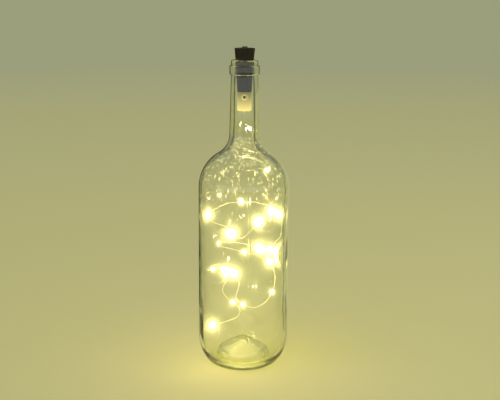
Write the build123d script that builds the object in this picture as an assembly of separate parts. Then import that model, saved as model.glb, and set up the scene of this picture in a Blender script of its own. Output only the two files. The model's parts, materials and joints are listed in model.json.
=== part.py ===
from build123d import *
from math import atan, atan2, cos, degrees, pi, radians, sin, sqrt, tan
import os

# Cork bottle light: a clear wine bottle, a battery stopper in its mouth and a string of lights inside.
# Millimetres, +Z up, origin in the middle of the base, the screw side of the stopper at -Y.

# Bottle, outside
BODY_RADIUS = 45.0
BODY_LENGTH = 153.1  # straight side between heel and shoulder
HEEL_WIDTH = 20.0  # how far the heel curve comes in from the side
HEEL_HEIGHT = 30.0
SHOULDER_RADIUS = 39.4
NECK_CURVE = 21.5  # hollow curve between shoulder and neck
NECK_BASE_RADIUS = 14.7
NECK_TOP_RADIUS = 13.3
NECK_LENGTH = 58.3
COLLAR_RADIUS = 14.75
COLLAR_HEIGHT = 8.7
COLLAR_ROUND = 1.8
COLLAR_CORNER = 0.5  # inner corner where the collar meets the neck and the lip
LIP_RADIUS = 13.3
LIP_HEIGHT = 5.7
LIP_ROUND = 2.2
ROUND_SHARE = 0.49  # most of a run that a rounded corner of the glass may take

# Bottle, inside
BODY_WALL = 2.5
NECK_WALL = 3.9
BORE_RADIUS = 10.2
MOUTH_RADIUS = 9.0
MOUTH_DEPTH = 24.0  # the bore widens from the mouth to here
MOUTH_ROUND = 1.2
BORE_ROUND = 40.0

# Bottle, base: a flat ring to stand on, and a punt with a steep wall under a low cone
RING_WIDTH = 2.0
PUNT_LEAN = 2.5
PUNT_WALL_HEIGHT = 11.0
PUNT_TIP = 22.8  # where the cone's sides would meet
PUNT_ROUND = 5.0
PUNT_CAP_RADIUS = 3.0
PUNT_FOOT_ROUND = 1.2
FLOOR_WALL = 6.0  # glass over the punt
HEEL_WALL = 7.0  # glass over the ring
VALLEY_OFFSET = 4.0  # lowest inside circle, outside the ring
VALLEY_FLAT = 2.0
VALLEY_ROUND = 3.0
FLOOR_SPREAD = 3.0  # the floor's cone is this much wider than the punt's

# Stopper shell
HEAD_PROUD = 11.0
CORK_LENGTH = 41.9
HEAD_TAPER = 0.1  # gain in radius for each millimetre of height
KNEE_DEPTH = 5.0  # the steep taper ends this far below the lip
SEAT_CLEARANCE = 0.15
CORK_STEP = 0.1
CORK_EDGE = 0.5
TOP_WALL = 3.2
LEDGE_WIDTH = 0.5
PART_FIT = 0.15

# Button and switch
BUTTON_RADIUS = 2.7
BUTTON_PROUD = 1.8
BUTTON_EDGE = 0.5
BUTTON_CLEARANCE = 0.2
BUTTON_TRAVEL = 1.2
FLANGE_RADIUS = 4.2
FLANGE_THICKNESS = 0.8
PRESS_ROOM = 0.6  # left under the flange when the button is down
SWITCH_WIDTH = 6.0
SWITCH_HEIGHT = 3.4
SWITCH_EDGE = 0.4
PLUNGER_RADIUS = 1.7
PLUNGER_DEPTH = 1.5  # part of the plunger inside the switch
LEG_WIDTH = 0.7
LEG_THICKNESS = 0.2
LEG_HEIGHT = 1.2
LEG_FOOT = 0.8
LEG_SPACING = 4.5

# Board and what it carries
BOARD_THICKNESS = 1.2
RESISTOR_WIDTH = 0.9
RESISTOR_LENGTH = 1.6
RESISTOR_HEIGHT = 0.5
RESISTOR_GAP = 0.5
SPACER_HEIGHT = 3.0
SPACER_WALL = 0.9
SPACER_SLOT = 2.4
STUD_BASE_RADIUS = 2.2
STUD_BASE_THICKNESS = 0.5
STUD_RADIUS = 1.2

# Cells and their lower contact
CELL_PLACES = ("upper", "middle", "lower")
CELL_RADIUS = 5.8
CELL_HEIGHT = 5.4
CELL_CAP_RADIUS = 4.5
CELL_CAP_HEIGHT = 0.7
CELL_EDGE = 0.3
CELL_CLEARANCE = 0.3
LEAF_THICKNESS = 0.3
LEAF_RISE = 1.4
LEAF_RADIUS = 4.6
LEAF_WIDTH = 2.4
LEAF_FOOT = 3.4  # where the tongue leaves the disc, from the middle
LEAF_TOP = 1.0  # half length of the tongue's flat top

# Battery plug, cap and screw
CAP_RADIUS = 7.1
CAP_BASE_RADIUS = 6.95
CAP_LENGTH = 18.6
CAP_WALL = 1.5
CAP_FLOOR = 2.0
CAP_EDGE = 1.2
PLUG_REACH = 8.6  # length of the plug inside the cap
SCREW_DROP = 5.0  # screw below the joint of cork and cap
RECESS_RADIUS = 2.8
RECESS_DEPTH = 0.75
SCREW_HEAD_RADIUS = 1.5
SCREW_HEAD_HEIGHT = 0.9
SCREW_HEAD_CLEARANCE = 0.1
SCREW_SEAT_DEPTH = 0.45
SCREW_RADIUS = 0.8
SCREW_LENGTH = 3.6
SCREW_CLEARANCE = 0.05
CROSS_LENGTH = 1.8
CROSS_WIDTH = 0.4
CROSS_DEPTH = 0.5

# Leads inside the stopper, and where the string leaves it
LEAD_RADIUS = 0.25
LEAD_CLEARANCE = 0.1
LEAD_BEND = 0.7
LEAD_SPREAD = 0.6  # each lead's distance from the middle at the splice
LEAD_DROP = 0.8  # straight stretch where a lead meets the board or the splice
JOG_TOP = 4.0  # the positive lead comes in through the plug's groove below here
JOG_HEIGHT = 1.5
SEAL_RADIUS = 1.25
SEAL_FLANGE_RADIUS = 2.2
SEAL_FLANGE = 0.8
SEAL_PROUD = 0.4
SPLICE_RADIUS = 1.3
SPLICE_LENGTH = 3.4

# String of lights
WIRE_DIAMETER = 0.7
WIRE_CLEARANCE = 0.1
STRING_DROP = 6.1  # straight stretch below the seal
BEND_SHARE = 0.45  # share of the shorter run that each of its bends takes
DROP_LENGTH = 4.2
DROP_RADIUS = 1.35
CHIP_LENGTH = 1.2
CHIP_WIDTH = 0.7
CHIP_HEIGHT = 0.45
CHIP_CLEARANCE = 0.03

# The string's way down the bottle, as chosen by hand below its straight stretch. A run that starts at a
# point marked with True carries a light in its middle. The string is cut midway between its two lists.
LEAD_ROUTE = [
    ((2, -1, 246.5), True),
    ((8.5, -1, 236.5), False),
    ((9.5, 1.5, 224), False),
    ((22, 9.5, 207), True),
    ((26.5, 13.5, 189), False),
]
WIRE_ROUTE = [
    ((25.5, 14.5, 172), False),
    ((27, 18, 163), True),
    ((29, 9, 148), False),
    ((26, -8, 149), False),
    ((19, -18, 160), True),
    ((9, -28, 147), False),
    ((1, -36, 140), False),
    ((-5, -29, 137), True),
    ((-16, -18, 147), False),
    ((-31, -15, 150), False),
    ((-37, -1, 151), True),
    ((-34, 18, 153), False),
    ((-24, 30, 156), False),
    ((-11, 36, 159), True),
    ((9, 36, 160), False),
    ((25, 29, 159), False),
    ((36, 16, 158), True),
    ((39, -5, 149), False),
    ((37, -13, 137), False),
    ((31, -14, 129), True),
    ((22, -10, 114), False),
    ((20, 5, 110), False),
    ((25, 20, 112), True),
    ((10, 32, 114), False),
    ((-7, 30, 118), False),
    ((-22, 18, 122), True),
    ((-26, -3, 124), False),
    ((-20, -22, 127), False),
    ((-9, -35, 128), True),
    ((11, -35, 122), False),
    ((23, -19, 119), False),
    ((25, -1, 111), True),
    ((31, 11, 98), False),
    ((34, 4, 92), False),
    ((33.5, -6, 84.5), True),
    ((25, -18, 71.5), False),
    ((17, -30, 69), False),
    ((8, -36, 68), True),
    ((-8, -37, 77), False),
    ((-5, -31, 86), False),
    ((-3, -23, 93), True),
    ((-14, -11, 104), False),
    ((-16, 2, 99), False),
    ((-18, 12, 96), False),
    ((-24, 17, 94), True),
    ((-36, 12, 93), False),
    ((-37, 0, 96), False),
    ((-33, -12, 104), False),
    ((-19, -18, 110), True),
    ((-14, -26, 95), False),
    ((-21, -30, 87), False),
    ((-17, -34, 79), True),
    ((-2, -38, 70), False),
    ((-4, -37, 60), False),
    ((-14, -34, 55), False),
    ((-23, -27, 49), True),
    ((-36.5, -13, 41), False),
    ((-38, 1, 33), False),
]

# Heights of the bottle
shoulder_start = HEEL_HEIGHT + BODY_LENGTH
shoulder_centre = BODY_RADIUS - SHOULDER_RADIUS
inner_radius = BODY_RADIUS - BODY_WALL
neck_bore = NECK_BASE_RADIUS - NECK_WALL


def curve_rise(shoulder, curve, neck):
    """Height from the shoulder's centre to the neck curve's centre, for two arcs that touch."""
    return sqrt((shoulder + curve) ** 2 - (neck + curve - shoulder_centre) ** 2)


inner_shoulder = SHOULDER_RADIUS - BODY_WALL
inner_curve = NECK_CURVE + BODY_WALL
neck_start = shoulder_start + curve_rise(SHOULDER_RADIUS, NECK_CURVE, NECK_BASE_RADIUS)
inner_neck_start = shoulder_start + curve_rise(inner_shoulder, inner_curve, neck_bore)
collar_bottom = neck_start + NECK_LENGTH
lip_bottom = collar_bottom + COLLAR_HEIGHT
lip_top = lip_bottom + LIP_HEIGHT

# Heights of the stopper, from the button down
cork_top = lip_top + HEAD_PROUD
cork_bottom = cork_top - CORK_LENGTH
ceiling = cork_top - TOP_WALL
flange_top = ceiling - PART_FIT
flange_bottom = flange_top - FLANGE_THICKNESS
switch_top = flange_bottom - BUTTON_TRAVEL - PRESS_ROOM
board_top = switch_top - SWITCH_HEIGHT
board_bottom = board_top - BOARD_THICKNESS
cells_top = board_bottom - SPACER_HEIGHT
plug_top = cells_top - len(CELL_PLACES) * CELL_HEIGHT - LEAF_RISE
plug_bottom = cork_bottom - PLUG_REACH
cap_bottom = cork_bottom - CAP_LENGTH
cap_floor_top = cap_bottom + CAP_FLOOR
splice_bottom = cap_floor_top + SEAL_FLANGE
splice_top = splice_bottom + SPLICE_LENGTH
string_top = cap_bottom - SEAL_PROUD
screw_height = cork_bottom - SCREW_DROP

# Radii of the stopper
battery_bore = CELL_RADIUS + CELL_CLEARANCE
cap_bore = CAP_RADIUS - CAP_WALL
plug_radius = battery_bore - PART_FIT
spigot_radius = cap_bore - PART_FIT
board_radius = battery_bore - PART_FIT
ledge_radius = battery_bore - LEDGE_WIDTH
screw_seat = spigot_radius - SCREW_SEAT_DEPTH
lead_groove = battery_bore + LEAD_RADIUS  # distance of the positive lead beside the cells
lead_inner = spigot_radius - LEAD_RADIUS - 2 * LEAD_CLEARANCE
lead_slot = 2 * (LEAD_RADIUS + LEAD_CLEARANCE)
wire_bore = WIRE_DIAMETER / 2 + WIRE_CLEARANCE


def turned(*edges):
    """Solid of revolution about Z from edges drawn as (radius, height)."""
    return revolve(Plane.XZ * make_face(edges), Axis.Z)


def turned_outline(*points):
    """Solid of revolution about Z from a closed outline of (radius, height) corners."""
    return turned(*Polyline(*points, close=True).edges())


def tube(radius, bore, bottom, top):
    """Plain tube on the Z axis."""
    return turned_outline((bore, bottom), (radius, bottom), (radius, top), (bore, top))


def disc(radius, bottom, top):
    """Plain disc on the Z axis."""
    return Pos(0, 0, (bottom + top) / 2) * Cylinder(radius, top - bottom)


def block(x, y, z):
    """Box between two limits on each axis."""
    middle = [(low + high) / 2 for low, high in (x, y, z)]
    return Pos(*middle) * Box(x[1] - x[0], y[1] - y[0], z[1] - z[0])


def bend_radii(points, share):
    """Radius at each inner point whose bend takes up this share of the shorter run beside it."""
    radii = []
    for before, corner, after in zip(points, points[1:], points[2:]):
        shorter = min((corner - before).length, (after - corner).length)
        turn = radians((corner - before).get_angle(after - corner))
        radii.append(share * shorter / tan(turn / 2))
    return radii


def rounded(*corners, radii):
    """Line through corners with these radii, none larger than the runs beside it leave room for."""
    points = [Vector(*corner) for corner in corners]
    room = bend_radii(points, ROUND_SHARE)
    return FilletPolyline(*points, radius=[min(pair) for pair in zip(radii, room)])


def heel_arc(centre, width, height):
    """Quarter of an ellipse from the bottom of a heel to its side."""
    return EllipticalCenterArc(centre, width, height, start_angle=270, arc_size=90)


def cone_cap(base, tip, cap_radius):
    """Side of a cone from its base point to a rounded top on the axis, as edges and the top's height."""
    slope = (tip - base[1]) / base[0]
    lean = atan(slope)
    sphere = cap_radius / sin(lean)
    meet = (cap_radius, tip - cap_radius * slope)
    centre = meet[1] - sphere * cos(lean)
    top = CenterArc((0, centre), sphere, 90 - degrees(lean), degrees(lean))
    return meet, top, centre + sphere


def shoulder_arcs(shoulder, curve, neck, neck_height):
    """Convex shoulder arc and the hollow neck curve that goes on from it."""
    lean = degrees(atan2(neck_height - shoulder_start, neck + curve - shoulder_centre))
    return [
        CenterArc((shoulder_centre, shoulder_start), shoulder, 0, lean),
        CenterArc((neck + curve, neck_height), curve, 180 + lean, -lean),
    ]


def make_bottle():
    ring_outer = BODY_RADIUS - HEEL_WIDTH
    ring_inner = ring_outer - RING_WIDTH
    valley = ring_outer + VALLEY_OFFSET
    punt_shoulder = (ring_inner - PUNT_LEAN, PUNT_WALL_HEIGHT)
    floor_shoulder = (punt_shoulder[0] + FLOOR_SPREAD, PUNT_WALL_HEIGHT + FLOOR_WALL)
    punt_meet, punt_cap, punt_top = cone_cap(punt_shoulder, PUNT_TIP, PUNT_CAP_RADIUS)
    floor_meet, floor_cap, floor_top = cone_cap(floor_shoulder, PUNT_TIP + FLOOR_WALL, PUNT_CAP_RADIUS)

    outside = [
        heel_arc((ring_outer, HEEL_HEIGHT), HEEL_WIDTH, HEEL_HEIGHT),
        Line((BODY_RADIUS, HEEL_HEIGHT), (BODY_RADIUS, shoulder_start)),
        *shoulder_arcs(SHOULDER_RADIUS, NECK_CURVE, NECK_BASE_RADIUS, neck_start),
    ]
    finish = rounded(
        (NECK_BASE_RADIUS, neck_start),
        (NECK_TOP_RADIUS, collar_bottom),
        (COLLAR_RADIUS, collar_bottom),
        (COLLAR_RADIUS, lip_bottom),
        (LIP_RADIUS, lip_bottom),
        (LIP_RADIUS, lip_top),
        (MOUTH_RADIUS, lip_top),
        (BORE_RADIUS, lip_top - MOUTH_DEPTH),
        (neck_bore, inner_neck_start),
        radii=[COLLAR_CORNER, COLLAR_ROUND, COLLAR_ROUND, COLLAR_CORNER]
        + [LIP_ROUND, MOUTH_ROUND, BORE_ROUND],
    )
    inside = [
        *shoulder_arcs(inner_shoulder, inner_curve, neck_bore, inner_neck_start),
        Line((inner_radius, shoulder_start), (inner_radius, HEEL_HEIGHT)),
        heel_arc((valley, HEEL_HEIGHT), inner_radius - valley, HEEL_HEIGHT - HEEL_WALL),
    ]
    floor = rounded(
        (valley, HEEL_WALL),
        (valley - VALLEY_FLAT, HEEL_WALL),
        floor_shoulder,
        floor_meet,
        radii=[VALLEY_ROUND, PUNT_ROUND],
    )
    punt = rounded(
        punt_meet,
        punt_shoulder,
        (ring_inner, 0),
        (ring_outer, 0),
        radii=[PUNT_ROUND, PUNT_FOOT_ROUND],
    )
    middle = Line((0, floor_top), (0, punt_top))
    edges = outside + finish.edges() + inside + floor.edges() + [floor_cap, middle, punt_cap] + punt.edges()
    return turned(*edges)


def make_cork_shell():
    seat_radius = MOUTH_RADIUS - SEAT_CLEARANCE
    lip_radius = seat_radius + HEAD_TAPER * MOUTH_ROUND
    top_radius = lip_radius + HEAD_TAPER * HEAD_PROUD
    knee_radius = lip_radius - HEAD_TAPER * KNEE_DEPTH
    hole = BUTTON_RADIUS + BUTTON_CLEARANCE
    outline = FilletPolyline(
        (hole, cork_top),
        (top_radius, cork_top),
        (knee_radius, lip_top - KNEE_DEPTH),
        (CAP_RADIUS + CORK_STEP, cork_bottom),
        (battery_bore, cork_bottom),
        (battery_bore, board_top),
        (ledge_radius, board_top),
        (ledge_radius, ceiling),
        (hole, ceiling),
        (hole, cork_top),
        radius=[0, CORK_EDGE, 0, 0, 0, 0, 0, 0, 0],
    )
    groove = block(
        (-lead_slot / 2, lead_slot / 2),
        (0, lead_groove + LEAD_RADIUS + LEAD_CLEARANCE),
        (cork_bottom, board_bottom),
    )
    return turned(*outline.edges()) - (groove - disc(ledge_radius, cork_bottom, board_bottom))


def make_switch_button():
    button_top = cork_top + BUTTON_PROUD
    stem = chamfer(disc(BUTTON_RADIUS, flange_top, button_top).edges().group_by(Axis.Z)[-1], BUTTON_EDGE)
    return stem + disc(FLANGE_RADIUS, flange_bottom, flange_top)


def make_switch_body():
    half = SWITCH_WIDTH / 2
    body = block((-half, half), (-half, half), (board_top, switch_top))
    body = fillet(body.edges().filter_by(Axis.Z), SWITCH_EDGE)
    well = disc(
        PLUNGER_RADIUS + BUTTON_CLEARANCE,
        switch_top - PLUNGER_DEPTH - BUTTON_TRAVEL - BUTTON_CLEARANCE,
        switch_top,
    )
    return body - well


def make_switch_legs():
    """Four bent pins, two on each side of the switch, with their feet on the board."""
    side = SWITCH_WIDTH / 2
    leg = Polyline(
        (side, 0),
        (side + LEG_FOOT, 0),
        (side + LEG_FOOT, LEG_THICKNESS),
        (side + LEG_THICKNESS, LEG_THICKNESS),
        (side + LEG_THICKNESS, LEG_HEIGHT),
        (side, LEG_HEIGHT),
        close=True,
    )
    pin = extrude(Plane.YZ * make_face(leg.edges()), LEG_WIDTH / 2, both=True)
    places = [(x, turn) for x in (-LEG_SPACING / 2, LEG_SPACING / 2) for turn in (0, 180)]
    return [Rot(0, 0, turn) * Pos(x, 0, board_top) * pin for x, turn in places]


def make_resistor():
    near = SWITCH_WIDTH / 2 + RESISTOR_GAP
    return block(
        (near, near + RESISTOR_WIDTH),
        (-RESISTOR_LENGTH / 2, RESISTOR_LENGTH / 2),
        (board_top, board_top + RESISTOR_HEIGHT),
    )


def make_spacer():
    ring = tube(board_radius, board_radius - SPACER_WALL, cells_top, board_bottom)
    slot = block((-SPACER_SLOT / 2, SPACER_SLOT / 2), (0, 2 * board_radius), (cells_top, board_bottom))
    return ring - slot


def make_positive_contact():
    base = disc(STUD_BASE_RADIUS, board_bottom - STUD_BASE_THICKNESS, board_bottom)
    return base + disc(STUD_RADIUS, cells_top, board_bottom - STUD_BASE_THICKNESS)


def make_cell(count_above):
    """Button cell with this many above it, and its narrower pole underneath."""
    top = cells_top - count_above * CELL_HEIGHT
    bottom = top - CELL_HEIGHT
    can = disc(CELL_RADIUS, bottom + CELL_CAP_HEIGHT, top)
    can = fillet(can.edges().group_by(Axis.Z)[-1], CELL_EDGE)
    return can + disc(CELL_CAP_RADIUS, bottom, bottom + CELL_CAP_HEIGHT)


def make_negative_contact():
    """Disc with a tongue that is bent up to press on the lowest cell."""
    rise = LEAF_RISE - LEAF_THICKNESS
    tongue = Polyline(
        (-LEAF_FOOT - LEAF_TOP, LEAF_THICKNESS),
        (-LEAF_FOOT, LEAF_THICKNESS),
        (-LEAF_TOP, rise),
        (LEAF_TOP, rise),
        (LEAF_TOP, LEAF_RISE),
        (-LEAF_TOP, LEAF_RISE),
        close=True,
    )
    strip = extrude(Plane.XZ * make_face(tongue.edges()), LEAF_WIDTH / 2, both=True)
    strip = strip & disc(LEAF_RADIUS, 0, LEAF_RISE)
    return Pos(0, 0, plug_top) * (disc(LEAF_RADIUS, 0, LEAF_THICKNESS) + strip)


def toward_front(shape, height, distance):
    """Turn a shape drawn along +Z so that it points at the screw side, at this height and distance."""
    return Pos(0, -distance, height) * Rot(90, 0, 0) * shape


def screw_hole(radius, inner, outer):
    """Cylinder along the screw's axis between two distances from the middle."""
    return toward_front(disc(radius, 0, outer - inner), screw_height, inner)


def make_battery_plug():
    plug = disc(plug_radius, cork_bottom, plug_top) + disc(spigot_radius, plug_bottom, cork_bottom)
    lead_hole = Pos(-LEAD_SPREAD, 0, 0) * disc(LEAD_RADIUS + LEAD_CLEARANCE, plug_bottom, plug_top)
    groove = block(
        (-lead_slot / 2, lead_slot / 2),
        (lead_inner - LEAD_RADIUS - LEAD_CLEARANCE, 2 * plug_radius),
        (plug_bottom, cork_bottom + JOG_TOP + lead_slot),
    )
    seat = screw_hole(SCREW_HEAD_RADIUS + SCREW_HEAD_CLEARANCE, screw_seat, plug_radius)
    thread = screw_hole(SCREW_RADIUS + SCREW_CLEARANCE, screw_seat - SCREW_LENGTH, screw_seat)
    return plug - lead_hole - groove - seat - thread


def make_battery_cap():
    cup = FilletPolyline(
        (SEAL_RADIUS + PART_FIT, cap_bottom),
        (CAP_BASE_RADIUS, cap_bottom),
        (CAP_RADIUS, cork_bottom),
        (cap_bore, cork_bottom),
        (cap_bore, cap_floor_top),
        (SEAL_RADIUS + PART_FIT, cap_floor_top),
        (SEAL_RADIUS + PART_FIT, cap_bottom),
        radius=[0, CAP_EDGE, 0, 0, 0, 0],
    )
    recess = screw_hole(RECESS_RADIUS, CAP_RADIUS - RECESS_DEPTH, 2 * CAP_RADIUS)
    hole = screw_hole(SCREW_HEAD_RADIUS + SCREW_HEAD_CLEARANCE, 0, 2 * CAP_RADIUS)
    return turned(*cup.edges()) - recess - hole


def make_cap_screw():
    screw = disc(SCREW_RADIUS, -SCREW_LENGTH, 0) + disc(SCREW_HEAD_RADIUS, 0, SCREW_HEAD_HEIGHT)
    half_length = CROSS_LENGTH / 2
    half_width = CROSS_WIDTH / 2
    depth = (SCREW_HEAD_HEIGHT - CROSS_DEPTH, SCREW_HEAD_HEIGHT)
    long_way = block((-half_length, half_length), (-half_width, half_width), depth)
    short_way = block((-half_width, half_width), (-half_length, half_length), depth)
    return toward_front(screw - long_way - short_way, screw_height, screw_seat)


def make_wire_seal():
    flange = tube(SEAL_FLANGE_RADIUS, wire_bore, cap_floor_top, splice_bottom)
    return flange + tube(SEAL_RADIUS, wire_bore, string_top, cap_floor_top)


def make_wire_splice():
    sleeve = disc(SPLICE_RADIUS, splice_bottom, splice_top)
    return sleeve + disc(WIRE_DIAMETER / 2, string_top, splice_bottom)


def swept(path, radius):
    """Round wire along a path of straight runs and arcs."""
    start = Plane(origin=path @ 0, z_dir=path % 0)
    return sweep(start * Circle(radius), path=path)


def make_negative_lead():
    return Pos(-LEAD_SPREAD, 0, 0) * disc(LEAD_RADIUS, splice_top, plug_top)


def make_positive_lead():
    """From the board, beside the cells, through the plug's groove and in to the splice."""
    board_pad = board_radius - SPACER_WALL - LEAD_RADIUS
    jog = cork_bottom + JOG_TOP
    path = FilletPolyline(
        (0, board_pad, board_bottom),
        (0, board_pad, board_bottom - LEAD_DROP),
        (0, lead_groove, cells_top + LEAD_DROP),
        (0, lead_groove, jog),
        (0, lead_inner, jog - JOG_HEIGHT),
        (0, lead_inner, plug_bottom - LEAD_DROP),
        (LEAD_SPREAD, LEAD_SPREAD, splice_top + LEAD_DROP),
        (LEAD_SPREAD, LEAD_SPREAD, splice_top),
        radius=LEAD_BEND,
    )
    return swept(path, LEAD_RADIUS)


def make_string():
    """The string in two stretches, cut in the middle of a straight run."""
    top = [Vector(0, 0, string_top), Vector(0, 0, string_top - STRING_DROP)]
    lead = top + [Vector(*place) for place, _ in LEAD_ROUTE]
    wire = [Vector(*place) for place, _ in WIRE_ROUTE]
    middle = (lead[-1] + wire[0]) / 2
    radii = bend_radii(lead + wire, BEND_SHARE)
    lead_bends = len(lead) - 1
    lead_path = FilletPolyline(*lead, middle, radius=radii[:lead_bends])
    wire_path = FilletPolyline(middle, *wire, radius=radii[lead_bends:])
    stretches = []
    for path in (lead_path, wire_path):
        stretch = swept(path, WIRE_DIAMETER / 2)
        section = pi * (WIRE_DIAMETER / 2) ** 2
        print(f"string stretch {path.length:.1f} mm, volume / (section x length) "
              f"{stretch.volume / (section * path.length):.4f}")
        stretches.append(stretch)
    print(f"string bend radii from {min(radii):.1f} mm: " + " ".join(f"{radius:.1f}" for radius in radii))
    return stretches


def make_light():
    """Resin drop on a wire along Z, with a pocket beside the wire for its chip, and that chip."""
    bore = wire_bore
    skin = ThreePointArc((bore, -DROP_LENGTH / 2), (DROP_RADIUS, 0), (bore, DROP_LENGTH / 2))
    drop = turned(skin, Line((bore, DROP_LENGTH / 2), (bore, -DROP_LENGTH / 2)))
    half_length = CHIP_LENGTH / 2
    half_width = CHIP_WIDTH / 2
    room = CHIP_CLEARANCE
    chip = block((bore, bore + CHIP_HEIGHT), (-half_width, half_width), (-half_length, half_length))
    pocket = block(
        (0, bore + CHIP_HEIGHT + room),
        (-half_width - room, half_width + room),
        (-half_length - room, half_length + room),
    )
    return drop - pocket, chip


def make_lights():
    """A light in the middle of each marked run of the route."""
    drop, chip = make_light()
    drops, chips = [], []
    route = LEAD_ROUTE + WIRE_ROUTE
    for (start, lit), (end, _) in zip(route, route[1:]):
        if lit:
            seat = Plane(origin=(Vector(*start) + Vector(*end)) / 2, z_dir=Vector(*end) - Vector(*start))
            drops.append(seat * drop)
            chips.append(seat * chip)
    return drops, chips


string_lead, string_wire = make_string()
led_drops, led_chips = make_lights()

nodes = {
    "glass_bottle": make_bottle(),
    "cork_shell": make_cork_shell(),
    "switch_button": make_switch_button(),
    "switch_plunger": disc(PLUNGER_RADIUS, switch_top - PLUNGER_DEPTH, flange_bottom),
    "switch_body": make_switch_body(),
    "switch_legs": Compound(children=make_switch_legs()),
    "circuit_board": disc(board_radius, board_bottom, board_top),
    "chip_resistor": make_resistor(),
    "board_spacer": make_spacer(),
    "positive_contact": make_positive_contact(),
    "negative_contact": make_negative_contact(),
    "battery_plug": make_battery_plug(),
    "battery_cap": make_battery_cap(),
    "cap_screw": make_cap_screw(),
    "wire_seal": make_wire_seal(),
    "wire_splice": make_wire_splice(),
    "positive_lead": make_positive_lead(),
    "negative_lead": make_negative_lead(),
    "string_lead": string_lead,
    "string_wire": string_wire,
    "led_chips": Compound(children=led_chips),
}
for count_above, place in enumerate(CELL_PLACES):
    nodes[f"button_cell_{place}"] = make_cell(count_above)
for number, drop in enumerate(led_drops, 1):
    nodes[f"led_drop_{number:02d}"] = drop

os.makedirs("parts", exist_ok=True)
for name, shape in nodes.items():
    export_step(shape, f"parts/{name}.step")
print(f"{len(nodes)} nodes, lip at {lip_top:.1f} mm, button top at {cork_top + BUTTON_PROUD:.1f} mm")
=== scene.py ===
import json
from math import atan2, cos, degrees, pi, radians, sin, sqrt, tan

import bmesh
import bpy
from bpy.props import FloatProperty, FloatVectorProperty, IntProperty, PointerProperty
from mathutils import Matrix, Vector, noise


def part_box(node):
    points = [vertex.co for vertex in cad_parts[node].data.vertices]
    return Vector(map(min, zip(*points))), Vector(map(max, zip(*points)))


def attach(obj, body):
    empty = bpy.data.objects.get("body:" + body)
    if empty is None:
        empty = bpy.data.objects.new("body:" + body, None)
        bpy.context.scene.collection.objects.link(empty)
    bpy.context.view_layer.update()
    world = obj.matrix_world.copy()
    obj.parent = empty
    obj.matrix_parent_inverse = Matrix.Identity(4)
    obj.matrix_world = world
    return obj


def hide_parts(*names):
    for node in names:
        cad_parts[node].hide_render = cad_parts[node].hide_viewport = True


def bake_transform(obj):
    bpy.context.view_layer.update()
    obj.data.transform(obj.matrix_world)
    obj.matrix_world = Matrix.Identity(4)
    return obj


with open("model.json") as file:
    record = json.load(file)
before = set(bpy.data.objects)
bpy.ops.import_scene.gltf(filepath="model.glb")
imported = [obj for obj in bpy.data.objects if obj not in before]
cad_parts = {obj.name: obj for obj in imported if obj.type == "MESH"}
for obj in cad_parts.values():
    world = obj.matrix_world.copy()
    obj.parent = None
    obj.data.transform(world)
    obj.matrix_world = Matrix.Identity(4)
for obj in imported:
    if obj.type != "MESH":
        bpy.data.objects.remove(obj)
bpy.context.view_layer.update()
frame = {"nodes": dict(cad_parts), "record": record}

bl_info = {
    "name": "Cork bottle light",
    "version": (1, 0, 0),
    "blender": (4, 5, 0),
    "location": "3D View > Sidebar > Bottle Light",
    "description": "Dresses a wine bottle, its battery stopper and the string of lights inside",
    "category": "Object",
}

BLACK = (0.0, 0.0, 0.0, 1.0)

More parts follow.
